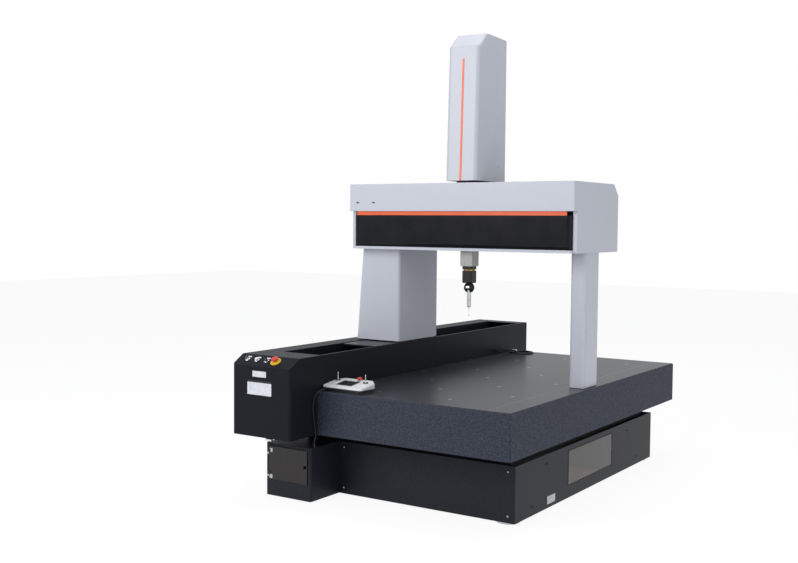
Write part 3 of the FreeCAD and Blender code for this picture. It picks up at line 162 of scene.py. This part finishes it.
PENDANT_ROUTE = [
    (-0.3552, -1.1161, 0.6200),
    (-0.3575, -1.1460, 0.6200),
    (-0.3650, -1.1720, 0.6060),
    (-0.3740, -1.1860, 0.5700),
    (-0.3780, -1.1880, 0.5200),
    (-0.3790, -1.1780, 0.4620),
    (-0.3790, -1.1640, 0.4050),
    (-0.3795, -1.1560, 0.3660),
    (-0.3940, -1.1505, 0.3470),
    (-0.3960, -1.1500, 0.3225),
]
pendant_cord, pendant_line, pendant_length = lay_cord("joystick_box_cord", PENDANT_ROUTE, 0.006)
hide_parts("pendant_cord")

SENSOR_ROUTE = [
    (-0.3757, 0.8800, 0.6400),
    (-0.3400, 0.8820, 0.6390),
    (-0.3180, 0.9000, 0.6136),
    (-0.3120, 0.9380, 0.6126),
    (-0.2900, 0.9720, 0.6126),
]
coil_low, coil_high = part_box("sensor_coil")
coil_centre = (coil_low + coil_high) / 2
turn_points = 14
turn_count = 6
# three turns lie on the table from the outside in, and three go back outward on top of them
for step in range(turn_points * turn_count):
    turn_angle = math.radians(-78) + 2 * math.pi * step / turn_points
    done = step / (turn_points * turn_count)
    inward = 1 - abs(1 - 2 * done)
    reach = (coil_high.x - coil_low.x) / 2 - 0.005 - 0.028 * inward + 0.0015 * math.sin(2.3 * turn_angle)
    rise = 0.0027 + 0.0055 * min(max((done - 0.46) / 0.08, 0), 1)
    SENSOR_ROUTE.append((coil_centre.x + reach * math.cos(turn_angle),
                         coil_centre.y + reach * math.sin(turn_angle), coil_low.z + rise))
sensor_cord, sensor_line, sensor_length = lay_cord("sensor_cord", SENSOR_ROUTE, 0.005)
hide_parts("sensor_lead", "sensor_coil")


# ---------------------------------------------------------------- base frame
# Two long rails and four cross tubes of welded steel box section stand on levelling feet, and rubber
# isolators on the rails carry the table. Folded steel panels with a fine-texture powder coat hang round
# the frame.
def dress(finish, *names):
    """Give CAD nodes a finish."""
    for name in names:
        nodes[name].data.materials.clear()
        nodes[name].data.materials.append(finish)


def keep_piece(name, shape, body, finish, smooth=False):
    """Make a bmesh a piece in its place, with one finish, riding on a body."""
    bmesh.ops.recalc_face_normals(shape, faces=shape.faces)
    mesh = bpy.data.meshes.new(name)
    shape.to_mesh(mesh)
    shape.free()
    mesh.materials.append(finish)
    if smooth:
        mesh.shade_smooth()
        mesh.set_sharp_from_angle(angle=math.radians(40))
    piece = bpy.data.objects.new(name, mesh)
    bpy.context.scene.collection.objects.link(piece)
    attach(piece, body)


def add_plate(shape, low, high, softness, where=None):
    """Add a plate between two corners with softened edges, moved by a matrix when one is given."""
    low, high = Vector(low), Vector(high)
    corners = bmesh.ops.create_cube(shape, size=1)["verts"]
    bmesh.ops.scale(shape, vec=high - low, verts=corners)
    bmesh.ops.translate(shape, vec=(low + high) / 2, verts=corners)
    if where is not None:
        bmesh.ops.transform(shape, matrix=where, verts=corners)
    edges = list({edge for corner in corners for edge in corner.link_edges})
    bmesh.ops.bevel(shape, geom=edges, offset=softness, offset_type="OFFSET", affect="EDGES", segments=2,
                    profile=0.5, material=-1)


def add_turned(shape, outline, place, direction, steps=24):
    """Add a turned part: an outline of (radius, height) points spun round an axis from a place."""
    old = set(shape.verts)
    points = [shape.verts.new((radius, 0, height)) for radius, height in outline]
    lines = [shape.edges.new(pair) for pair in zip(points, points[1:])]
    bmesh.ops.spin(shape, geom=points + lines, cent=(0, 0, 0), axis=(0, 0, 1), angle=2 * math.pi,
                   steps=steps, use_merge=True)
    bmesh.ops.remove_doubles(shape, verts=[v for v in shape.verts if v not in old], dist=1e-6)
    turn = Vector(direction).to_track_quat("Z", "Y").to_matrix().to_4x4()
    bmesh.ops.transform(shape, matrix=Matrix.Translation(place) @ turn,
                        verts=[v for v in shape.verts if v not in old])


def add_screw(shape, place, direction, radius):
    """Add a button-head screw with a round-bottomed socket, standing on a surface."""
    add_turned(shape, [(0, 0.2 * radius), (0.45 * radius, 0.2 * radius), (0.45 * radius, 0.6 * radius),
                       (0.7 * radius, 0.55 * radius), (radius, 0.2 * radius), (radius, 0), (0, 0)],
               place, direction, steps=18)


# dark powder coat on folded steel, sprayed and baked: a pebbled skin that is nearly matt from the front
# and shines at a low angle. The real grain of about 0.5 mm is drawn at 5 mm, so that it shows.
base_coat, base_coat_shader = start_finish("fine-texture powder coat, base", "24262d", 0.42,
                                           Specular_IOR_Level=0.13)
mottle(base_coat, base_coat_shader, 5, ("212329", "2a2c34"), (0.35, 0.65), bump_mm=0.25,
       rough=(0.36, 0.48))
dress(base_coat, "base_panels", "air_unit_box")

# primer on hot-rolled tube, brushed on: flat dark grey
frame_paint, frame_paint_shader = start_finish("primer on steel tube", "26272b", 0.65)
mottle(frame_paint, frame_paint_shader, 12, ("222327", "2c2d31"), (0.35, 0.65), bump_mm=0.1)
dress(frame_paint, "base_cross_tubes", "base_rails")

# natural rubber, compression moulded: a dusty black
rubber, rubber_shader = start_finish("moulded rubber", "141416", 0.75)
mottle(rubber, rubber_shader, 3, ("111113", "1b1b1e"), (0.35, 0.65), bump_mm=0.1)
dress(rubber, "isolators")

# zinc-plated steel, turned: a slightly cloudy bright metal
zinc, zinc_shader = start_finish("zinc-plated steel", "b9bbbf", 0.32, 1.0)
mottle(zinc, zinc_shader, 8, ("a9abb0", "c6c8cc"), (0.35, 0.65), rough=(0.25, 0.4))
dress(zinc, "leveling_feet")

# cast acrylic with a brown smoke tint: a glossy dark pane that lets a little through
smoked, smoked_shader = start_finish("smoked cast acrylic", "3a2826", 0.06, 0.0, Transmission_Weight=0.9,
                                     IOR=1.49)
mottle(smoked, smoked_shader, 90, ("33221f", "40302c"), (0.3, 0.7))
dress(smoked, "base_window")

# black sheets in the rubber finish close the gap between the base and the table, set back from the panels:
# painted shade, standing in for the dark of that gap
painted_shade_sheets = bmesh.new()
shade_frame_low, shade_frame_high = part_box("base_panels")
shade_sheet_set_back, shade_sheet_thickness = 0.05, 0.003
shade_sheet_foot, shade_sheet_top = 0.2905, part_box("granite_table")[0].z - 0.0005
west, east = shade_frame_low.x + shade_sheet_set_back, shade_frame_high.x - shade_sheet_set_back
south, north = shade_frame_low.y + shade_sheet_set_back, shade_frame_high.y - shade_sheet_set_back
for low_x, low_y, high_x, high_y in (
        (west, south, east, south + shade_sheet_thickness), (west, north - shade_sheet_thickness, east, north),
        (west, south + shade_sheet_thickness, west + shade_sheet_thickness, north - shade_sheet_thickness),
        (east - shade_sheet_thickness, south + shade_sheet_thickness, east, north - shade_sheet_thickness)):
    add_plate(painted_shade_sheets, (low_x, low_y, shade_sheet_foot), (high_x, high_y, shade_sheet_top), 0.0005)
# these dark sheets are painted shade in the gap under the table
keep_piece("gap_painted_shade", painted_shade_sheets, "root", rubber)

# the window's rubber edging, a flat strip round the pane
window_low, window_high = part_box("base_window")
edging = bmesh.new()
strip, strip_thickness = 0.004, 0.0015
face_x = window_high.x
for low_y, high_y, low_z, high_z in (
        (window_low.y, window_high.y, window_low.z, window_low.z + strip),
        (window_low.y, window_high.y, window_high.z - strip, window_high.z),
        (window_low.y, window_low.y + strip, window_low.z + strip, window_high.z - strip),
        (window_high.y - strip, window_high.y, window_low.z + strip, window_high.z - strip)):
    add_plate(edging, (face_x, low_y, low_z), (face_x + strip_thickness, high_y, high_z), 0.0005)
keep_piece("base_window_edging", edging, "root", rubber)

# black-oxide button heads hold the long side panels, and zinc ones the front and back panels
panel_low, panel_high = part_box("base_panels")
panel_screw_radius = 0.005
black_oxide, black_oxide_shader = start_finish("black-oxide steel", "1b1b1d", 0.4, 0.8)
mottle(black_oxide, black_oxide_shader, 2, ("161618", "222225"), (0.35, 0.65))
side_screws = bmesh.new()
for side, face in ((1, panel_high.x), (-1, panel_low.x)):
    for y, z in ((-0.567, 0.2512), (-0.7395, 0.0594), (0.567, 0.2512), (0.7395, 0.0594)):
        add_screw(side_screws, (face, y, z), (side, 0, 0), panel_screw_radius)
keep_piece("side_panel_screws", side_screws, "root", black_oxide, smooth=True)
end_screws = bmesh.new()
for side, face in ((-1, panel_low.y), (1, panel_high.y)):
    for x in (-0.357, 0.672):
        for z in (0.044, 0.272):
            add_screw(end_screws, (x, face, z), (0, side, 0), panel_screw_radius)
keep_piece("end_panel_screws", end_screws, "root", zinc, smooth=True)

# a bare aluminium foil plate low on the right panel
foil, foil_shader = start_finish("printed aluminium foil, bare", "d9dbe2", 0.4)
mottle(foil, foil_shader, 30, ("d2d4dc", "e0e2e8"), (0.35, 0.65))
foil_thickness, foil_edge = 0.0008, 0.0003
side_plate = bmesh.new()
add_plate(side_plate, (panel_high.x, -0.558, 0.030), (panel_high.x + foil_thickness, -0.460, 0.073),
          foil_edge)
keep_piece("base_side_plate", side_plate, "root", foil)

# ---------------------------------------------------------------- granite table
# One block of black granite with a lapped top and ground sides, its edges chamfered. Steel inserts are
# glued into the top in a staggered grid. A light edging line marks the lane that the free leg's pads run
# on.
granite, granite_shader = start_finish("black granite, lapped and ground", "404349", 0.42,
                                       Specular_IOR_Level=0.2)
stone_place = add_node(granite, "TexCoord", {}, {})
# feldspar grains of 2 to 3 mm, drawn at 7 mm so that they show
grain = add_node(granite, "TexNoise", {"Scale": 1000 / 7, "Detail": 4.0, "Roughness": 0.7},
                 {"Vector": stone_place.outputs["Object"]})
top_colour = add_node(granite, "ValToRGB", {}, {"Fac": grain.outputs["Fac"]})
side_colour = add_node(granite, "ValToRGB", {}, {"Fac": grain.outputs["Fac"]})
for ramp, stops in ((top_colour, ((0.4, "2c2e33"), (0.62, "383b41"))),
                    (side_colour, ((0.36, "1f222a"), (0.64, "454b5b")))):
    for stop, (position, colour) in zip(ramp.color_ramp.elements, stops):
        stop.position = position
        stop.color = linear(colour)
facing = add_node(granite, "SeparateXYZ", {}, {"Vector": stone_place.outputs["Normal"]})
is_top = add_node(granite, "Math", {"operation": "GREATER_THAN", 1: 0.9}, {0: facing.outputs["Z"]})
stone_colour = add_node(granite, "MixRGB", {}, {"Fac": is_top.outputs[0],
                                                "Color1": side_colour.outputs["Color"],
                                                "Color2": top_colour.outputs["Color"]})
stone_rough = add_node(granite, "MapRange", {"To Min": 0.6, "To Max": 0.3}, {"Value": is_top.outputs[0]})
granite.node_tree.links.new(stone_colour.outputs["Color"], granite_shader.inputs["Base Color"])
granite.node_tree.links.new(stone_rough.outputs["Result"], granite_shader.inputs["Roughness"])
dress(granite, "granite_table", "y_guide_rail", "beam_core")
dress(zinc, "threaded_inserts")

table_low, table_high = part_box("granite_table")
lane_x, lane_width, lane_thickness, lane_end = 0.653, 0.0015, 0.0003, 0.02
lane_line = bmesh.new()
add_plate(lane_line, (lane_x, table_low.y + lane_end, table_high.z),
          (lane_x + lane_width, table_high.y - lane_end, table_high.z + lane_thickness), 0.0001)
keep_piece("lane_line", lane_line, "root", zinc)

# ---------------------------------------------------------------- raised guide
# A granite rail runs in a deep trough beside the table and carries the driven side of the bridge. Its
# housing is folded steel in the dark powder coat. A graduated steel scale is glued along the rail.
dark_coat, dark_coat_shader = start_finish("fine-texture powder coat", "1a1c21", 0.42,
                                           Specular_IOR_Level=0.08)
mottle(dark_coat, dark_coat_shader, 5, ("17191e", "202228"), (0.35, 0.65), bump_mm=0.25,
       rough=(0.36, 0.48))
dress(dark_coat, "guide_housing")

# stainless tape, etched: dull steel with fine cross lines. The real pitch of 0.02 mm is drawn at 2 mm.
scale_steel, scale_steel_shader = start_finish("etched steel scale", "a8aaad", 0.35, 1.0)
scale_place = add_node(scale_steel, "TexCoord", {}, {})
scale_lines = add_node(scale_steel, "TexWave",
                       {"wave_type": "BANDS", "bands_direction": "Y", "Scale": 50.0},
                       {"Vector": scale_place.outputs["Object"]})
scale_colour = add_node(scale_steel, "ValToRGB", {}, {"Fac": scale_lines.outputs["Fac"]})
scale_colour.color_ramp.elements[0].color = linear("7c7e82")
scale_colour.color_ramp.elements[1].color = linear("b4b6ba")
scale_steel.node_tree.links.new(scale_colour.outputs["Color"], scale_steel_shader.inputs["Base Color"])
dress(scale_steel, "y_scale")

# ---------------------------------------------------------------- control cabinet and console
# A folded steel cabinet closes the front of the guide, with a sloping console in its top: a key switch,
# a white and a black push button and a red emergency stop on a yellow collar. Its two foil plates are
# bare.
dress(dark_coat, "control_cabinet", "console_panel")

# chrome plate on turned brass: a bright mirror
chrome, chrome_shader = start_finish("chrome plate", "dcdde0", 0.1, 1.0)
mottle(chrome, chrome_shader, 10, ("d6d7da", "e0e1e4"), (0.35, 0.65), rough=(0.07, 0.14))
dress(chrome, "control_bezels", "console_key")

# moulded ABS in several colours: an even gloss with a faint orange peel
plastics = {}
for label, dark, light, roughness in (
        ("white gloss ABS", "e6e7ea", "eeeff2", 0.25),
        ("black gloss ABS", "121316", "191a1e", 0.25),
        ("red gloss ABS", "c8301f", "d83a28", 0.28),
        ("yellow ABS", "e8be2a", "f0c834", 0.35),
        ("white moulded ABS", "dfe0e3", "e8e9ec", 0.42),
        ("black moulded ABS", "141518", "1c1d21", 0.45)):
    plastics[label], plastic_shader = start_finish(label, dark, roughness)
    mottle(plastics[label], plastic_shader, 3, (dark, light), (0.35, 0.65), bump_mm=0.05)
dress(plastics["white gloss ABS"], "start_button")
dress(plastics["black gloss ABS"], "stop_button")
dress(plastics["red gloss ABS"], "estop_head")
dress(plastics["yellow ABS"], "estop_collar")

cabinet_low, cabinet_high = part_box("control_cabinet")
console_rise, console_run = 0.050, 0.084
console_slope = math.atan(console_rise / console_run)
console_front = cabinet_high.z - console_rise


def console_matrix(across, up):
    """Place on the sloping console: across from its left end and up its slope, with +Z out of its face."""
    place = (cabinet_low.x + across, cabinet_low.y + up * math.cos(console_slope),
             console_front + up * math.sin(console_slope))
    return Matrix.Translation(place) @ Matrix.Rotation(console_slope, 4, "X")


legend_width, legend_height = 0.026, 0.010
legends = bmesh.new()
for across in (0.069, 0.135, 0.201):
    add_plate(legends, (-legend_width / 2, -legend_height / 2, 0),
              (legend_width / 2, legend_height / 2, foil_thickness), foil_edge,
              console_matrix(across, 0.0745))
keep_piece("console_legend_plates", legends, "root", foil)
cover_screw_radius = 0.004
console_screws = bmesh.new()
for across in (0.020, 0.312):
    spot = console_matrix(across, 0.030)
    add_screw(console_screws, spot.to_translation(), spot.to_3x3() @ Vector((0, 0, 1)), cover_screw_radius)
keep_piece("console_screws", console_screws, "root", black_oxide, smooth=True)

cabinet_face = cabinet_low.y
front_plates = bmesh.new()
for low_x, high_x, low_z, high_z in ((-0.646, -0.552, 0.694, 0.726), (-0.682, -0.515, 0.597, 0.664)):
    add_plate(front_plates, (low_x, cabinet_face - foil_thickness, low_z), (high_x, cabinet_face, high_z),
              foil_edge)
keep_piece("cabinet_plates", front_plates, "root", foil)
plate_heading = bmesh.new()
add_plate(plate_heading, (-0.682, cabinet_face - foil_thickness, 0.6645), (-0.515, cabinet_face, 0.674),
          foil_edge)
keep_piece("cabinet_plate_heading", plate_heading, "root", plastics["black gloss ABS"])

# ---------------------------------------------------------------- air unit
# A folded steel box in front of the base holds the air filter and regulators, seen through a smoked
# acrylic door on two leaf hinges. A chrome elbow and a black conduit come out of the cabinet's floor
# above it.
dress(smoked, "air_unit_door")
dress(zinc, "air_unit_hinges")

# turned brass, uncoated: warm bright metal with a light tarnish
brass, brass_shader = start_finish("turned brass", "b8924e", 0.28, 1.0)
mottle(brass, brass_shader, 6, ("a8823f", "c9a45f"), (0.35, 0.65), rough=(0.22, 0.36))
dress(brass, "air_service_unit")

door_face = -1.1965
leaf_x, leaf_side, leaf_thickness, leaf_screw_radius = -0.662, 0.022, 0.0015, 0.0035
leaves = bmesh.new()
for z in (0.264, 0.118):
    add_plate(leaves, (leaf_x - leaf_side / 2, door_face - leaf_thickness, z - leaf_side / 2),
              (leaf_x + leaf_side / 2, door_face, z + leaf_side / 2), 0.0005)
    add_screw(leaves, (leaf_x, door_face - leaf_thickness, z), (0, -1, 0), leaf_screw_radius)
keep_piece("door_hinge_leaves", leaves, "air_unit_door", zinc, smooth=True)

# three regulators, each with its knob toward the door, on pipes that rise from the floor of the box
regulator_height = 0.034
bay_y = -1.150
bay_floor = 0.013
regulators = bmesh.new()
pipes = bmesh.new()
for x, top in ((-0.606, 0.226), (-0.572, 0.214), (-0.536, 0.206)):
    add_turned(regulators, [(0, regulator_height), (0.008, regulator_height), (0.010, 0.032),
                            (0.010, 0.026), (0.014, 0.024), (0.014, 0.008), (0.011, 0.006), (0.011, 0),
                            (0, 0)],
               (x, bay_y, top - regulator_height), (0, 0, 1))
    add_turned(regulators, [(0, 0.010), (0.010, 0.010), (0.011, 0.008), (0.011, 0), (0, 0)],
               (x, bay_y - 0.014, top - 0.018), (0, -1, 0))
    riser = top - regulator_height - bay_floor
    add_turned(pipes, [(0, 0), (0.004, 0), (0.004, riser), (0, riser)], (x, bay_y, bay_floor), (0, 0, 1))
add_turned(pipes, [(0, 0), (0.005, 0), (0.005, 0.070), (0, 0.070)], (-0.606, bay_y, 0.196), (1, 0, 0))
add_turned(pipes, [(0, 0), (0.005, 0), (0.005, 0.158), (0, 0.158)], (-0.572, bay_y, 0.196), (0, 1, 0))
keep_piece("air_regulators", regulators, "root", brass, smooth=True)
keep_piece("air_pipes", pipes, "root", zinc, smooth=True)

elbow = bmesh.new()
elbow_x, elbow_y, floor_z = -0.640, -1.262, cabinet_low.z
nut_radius, nut_height = 0.011, 0.010
nut = bmesh.ops.create_cone(elbow, cap_ends=True, segments=6, radius1=nut_radius, radius2=nut_radius,
                            depth=nut_height)["verts"]
bmesh.ops.translate(elbow, vec=(elbow_x, elbow_y, floor_z - nut_height / 2), verts=nut)
bmesh.ops.bevel(elbow, geom=list({edge for corner in nut for edge in corner.link_edges}), offset=0.001,
                offset_type="OFFSET", affect="EDGES", segments=2, profile=0.5, material=-1)
add_turned(elbow, [(0, 0.030), (0.005, 0.030), (0.008, 0.027), (0.008, 0), (0, 0)],
           (elbow_x, elbow_y, floor_z - nut_height), (0, 0, -1))
add_turned(elbow, [(0, 0), (0.008, 0), (0.008, 0.020), (0.010, 0.022), (0.010, 0.038), (0.007, 0.040),
                   (0, 0.040)],
           (elbow_x, elbow_y, floor_z - 0.032), (1, 0, 0))
keep_piece("air_elbow", elbow, "root", chrome, smooth=True)
conduit = bmesh.new()
add_turned(conduit, [(0, 0), (0.009, 0), (0.009, 0.008), (0.006, 0.010), (0.006, 0.034), (0.0045, 0.036),
                     (0, 0.036)], (-0.556, -1.262, floor_z), (0, 0, -1))
keep_piece("cabinet_conduit", conduit, "root", plastics["black moulded ABS"], smooth=True)

# ---------------------------------------------------------------- joystick box
# The operator's control box lies on the front of the table: a white ABS shell over a black base, with a
# silicone keypad, two spring-centred sticks in rubber boots and a red stop button.
dress(plastics["white moulded ABS"], "pendant_shell")
dress(plastics["black moulded ABS"], "pendant_base", "pendant_keypad", "cable_glands")
dress(rubber, "pendant_boots")
dress(chrome, "left_stick", "right_stick")
dress(plastics["red gloss ABS"], "pendant_stop")

# milled aluminium, uncoated: a soft grey metal with fine tool marks
milled, milled_shader = start_finish("milled aluminium", "b9bbbf", 0.34, 1.0)
mottle(milled, milled_shader, 5, ("aeb0b4", "c2c4c8"), (0.35, 0.65), rough=(0.3, 0.42),
       stretch=(1, 0.2, 1))
dress(milled, "left_gimbal")

relief = bmesh.new()
add_turned(relief, [(0.0031, 0.026), (0.0042, 0.026), (0.0048, 0.020), (0.0042, 0.0185), (0.0052, 0.014),
                    (0.0045, 0.0125), (0.0056, 0.008), (0.0050, 0.0065), (0.0064, 0.001), (0.0064, -0.001),
                    (0.0031, -0.001), (0.0031, 0.026)],
           PENDANT_ROUTE[0], Vector(PENDANT_ROUTE[1]) - Vector(PENDANT_ROUTE[0]))
keep_piece("joystick_box_strain_relief", relief, "root", rubber, smooth=True)

# ---------------------------------------------------------------- bridge
# A cast aluminium carriage on air pads rides the granite rail and carries the column. A slim leg with
# its own pads runs on the table, and a granite beam joins them. Light satin covers and a black moulded
# front panel hide them.
black_anodised, black_anodised_shader = start_finish("black anodised aluminium", "242427", 0.38, 0.6)
mottle(black_anodised, black_anodised_shader, 3, ("202023", "2b2b2e"), (0.35, 0.65), rough=(0.32, 0.44))
dress(black_anodised, "y_carriage")
dress(milled, "air_pads", "column_post", "leg_post")

# satin two-pack paint on folded sheet: cool light grey with a faint orange peel. The real peel of about
# 2 mm is drawn at 6 mm.
light_paint, light_paint_shader = start_finish("satin paint on steel", "c9ccd7", 0.36)
mottle(light_paint, light_paint_shader, 6, ("c7cad5", "cccfd9"), (0.3, 0.7), bump_mm=0.03,
       rough=(0.32, 0.4))
dress(light_paint, "column_cover", "leg_cover", "beam_cover", "beam_floor")

# black ABS, vacuum formed: a smooth satin gloss that glints on its rounded ends
black_gloss, black_gloss_shader = start_finish("black satin moulding", "17181d", 0.16,
                                               Specular_IOR_Level=0.15)
mottle(black_gloss, black_gloss_shader, 120, ("15161b", "1b1c22"), (0.3, 0.7), rough=(0.14, 0.2))
dress(black_gloss, "beam_front_panel")

# cut vinyl film: flat orange with a soft gloss
orange_film, orange_film_shader = start_finish("orange vinyl film", "f0622c", 0.3)
mottle(orange_film, orange_film_shader, 60, ("ee5f2a", "f2652f"), (0.3, 0.7))
dress(orange_film, "beam_stripe", "tower_stripe")

# two printed arrows point along the beam, either side of a bare space
print_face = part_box("beam_cover")[0].y
print_thickness = 0.0003
arrows = bmesh.new()
for x, side in ((-0.6517, -1), (-0.5361, 1)):
    head = bmesh.ops.create_circle(arrows, cap_ends=True, segments=3, radius=0.0085)["verts"]
    bmesh.ops.rotate(arrows, cent=(0, 0, 0), matrix=Matrix.Rotation(math.radians(-90 * side), 3, "Z"),
                     verts=head)
    bmesh.ops.translate(arrows, vec=(0.004 * side, 0, 0), verts=head)
    shaft = bmesh.ops.create_grid(arrows, x_segments=1, y_segments=1, size=0.5)["verts"]
    bmesh.ops.scale(arrows, vec=(0.012, 0.005, 1), verts=shaft)
    bmesh.ops.translate(arrows, vec=(-0.006 * side, 0, 0), verts=shaft)
    place = Matrix.Translation((x, print_face - print_thickness, 1.645))
    place = place @ Matrix.Rotation(math.radians(90), 4, "X")
    bmesh.ops.transform(arrows, matrix=place, verts=head + shaft)
raised = bmesh.ops.extrude_face_region(arrows, geom=list(arrows.faces))["geom"]
bmesh.ops.translate(arrows, vec=(0, print_thickness, 0),
                    verts=[part for part in raised if isinstance(part, bmesh.types.BMVert)])
keep_piece("travel_arrows", arrows, "bridge", plastics["black gloss ABS"])

caps = bmesh.new()
for y, z in ((-0.1026, 1.2787), (-0.1179, 0.9049)):
    # each cap takes its seat and its direction from the cover's own face
    seat, facing = nodes["leg_cover"].ray_cast(Vector((1, y, z)), Vector((-1, 0, 0)))[1:3]
    add_turned(caps, [(0, 0.0012), (0.0045, 0.0012), (0.0065, 0.0), (0, 0)], seat, facing)
keep_piece("leg_cover_caps", caps, "bridge", light_paint, smooth=True)

# ---------------------------------------------------------------- Z tower
# The X carriage runs along the beam inside the covers and holds the guide that the quill slides in. Its
# tower is covered by two folded covers in the light paint, with an orange stripe down the front.
dress(milled, "x_carriage")
dress(black_anodised, "z_guide")
dress(light_paint, "tower_front_cover", "tower_rear_cover")

tower_low, tower_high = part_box("tower_rear_cover")
tower_screws = bmesh.new()
for y, z in ((-0.1562, 2.4909), (-0.1463, 2.1343), (-0.1385, 1.8541)):
    for side, face in ((1, tower_high.x), (-1, tower_low.x)):
        add_screw(tower_screws, (face, y, z), (side, 0, 0), cover_screw_radius)
keep_piece("tower_cover_screws", tower_screws, "x_carriage", zinc, smooth=True)

# ---------------------------------------------------------------- quill, probe head and probe
# The square quill is ground aluminium with a hard anodised skin. Under it an indexing head of black
# anodised aluminium with a brass ring turns and tilts a steel touch probe with a slim stylus.
quill_finish, quill_shader = start_finish("hard anodised quill, ground", "9e9e9c", 0.4, 0.5)
mottle(quill_finish, quill_shader, 6, ("969694", "a6a6a4"), (0.35, 0.65), rough=(0.36, 0.46),
       stretch=(1, 1, 0.1))
dress(quill_finish, "quill")
dress(black_anodised, "head_body", "quill_adapter", "head_knuckle")
dress(brass, "head_ring")
dress(milled, "probe_mount")

# stainless steel, turned and polished: a bright cylinder with dark edges
steel, steel_shader = start_finish("stainless steel, turned", "c9cacd", 0.2, 1.0)
mottle(steel, steel_shader, 3, ("bcbdc0", "d2d3d6"), (0.35, 0.65), rough=(0.15, 0.26))
dress(steel, "probe", "stylus", "temperature_sensor")

# ---------------------------------------------------------------- studio
# A pale floor, a plain world and three large soft lamps: the key from the front left, a fill from the
# right and a top light. Camera and glossy rays meet a whiter floor and world than the light that falls
# on the machine.
bpy.ops.mesh.primitive_plane_add(size=40, location=(0, 0, 0))
floor = bpy.context.object
floor.name = "floor"
floor_finish, floor_shader = start_finish("pale studio floor", "f4f4f4", 0.9)
floor.data.materials.append(floor_finish)
light_path = add_node(floor_finish, "LightPath", {}, {})
seen = add_node(floor_finish, "Math", {"operation": "ADD"},
                {0: light_path.outputs["Is Camera Ray"], 1: light_path.outputs["Is Glossy Ray"]})
seen_share = add_node(floor_finish, "Math", {"operation": "MULTIPLY", 1: 0.88}, {0: seen.outputs[0]})
white_glow = add_node(floor_finish, "Emission", {"Color": (1, 1, 1, 1), "Strength": 1.04}, {})
floor_mix = add_node(floor_finish, "MixShader", {}, {0: seen_share.outputs[0], 1: floor_shader.outputs[0],
                                                   2: white_glow.outputs[0]})
floor_out = floor_finish.node_tree.nodes["Material Output"]
floor_finish.node_tree.links.new(floor_mix.outputs[0], floor_out.inputs["Surface"])

world = bpy.data.worlds.new("studio")
bpy.context.scene.world = world
world.use_nodes = True
backdrop = world.node_tree.nodes["Background"]
backdrop.inputs["Strength"].default_value = 1.0
world_path = add_node(world, "LightPath", {}, {})
world_seen = add_node(world, "Math", {"operation": "ADD"},
                      {0: world_path.outputs["Is Camera Ray"],
                       1: world_path.outputs["Is Transmission Ray"]})
world_bright = add_node(world, "Math", {"operation": "MULTIPLY_ADD", 1: 0.55, "use_clamp": True},
                        {0: world_path.outputs["Is Glossy Ray"], 2: world_seen.outputs[0]})
world_colour = add_node(world, "MixRGB", {"Color1": (0.37, 0.38, 0.40, 1), "Color2": (1, 1, 1, 1)},
                        {"Fac": world_bright.outputs[0]})
world.node_tree.links.new(world_colour.outputs[0], backdrop.inputs["Color"])

for label, power, width, place, aim in (
        ("key", 190, 3.5, (-2.5, -5.8, 3.6), (0, 0, 0.9)),
        ("fill", 40, 3.0, (5.0, -2.0, 2.5), (0, 0, 0.8)),
        ("top", 120, 4.0, (0.5, 0.5, 6.0), (0, 0, 0))):
    lamp_data = bpy.data.lights.new(label, "AREA")
    lamp_data.energy = power
    lamp_data.size = width
    lamp = bpy.data.objects.new(label, lamp_data)
    bpy.context.scene.collection.objects.link(lamp)
    lamp.location = place
    lamp.rotation_euler = (Vector(aim) - Vector(place)).to_track_quat("-Z", "Y").to_euler()

bpy.context.scene.view_settings.view_transform = "Standard"
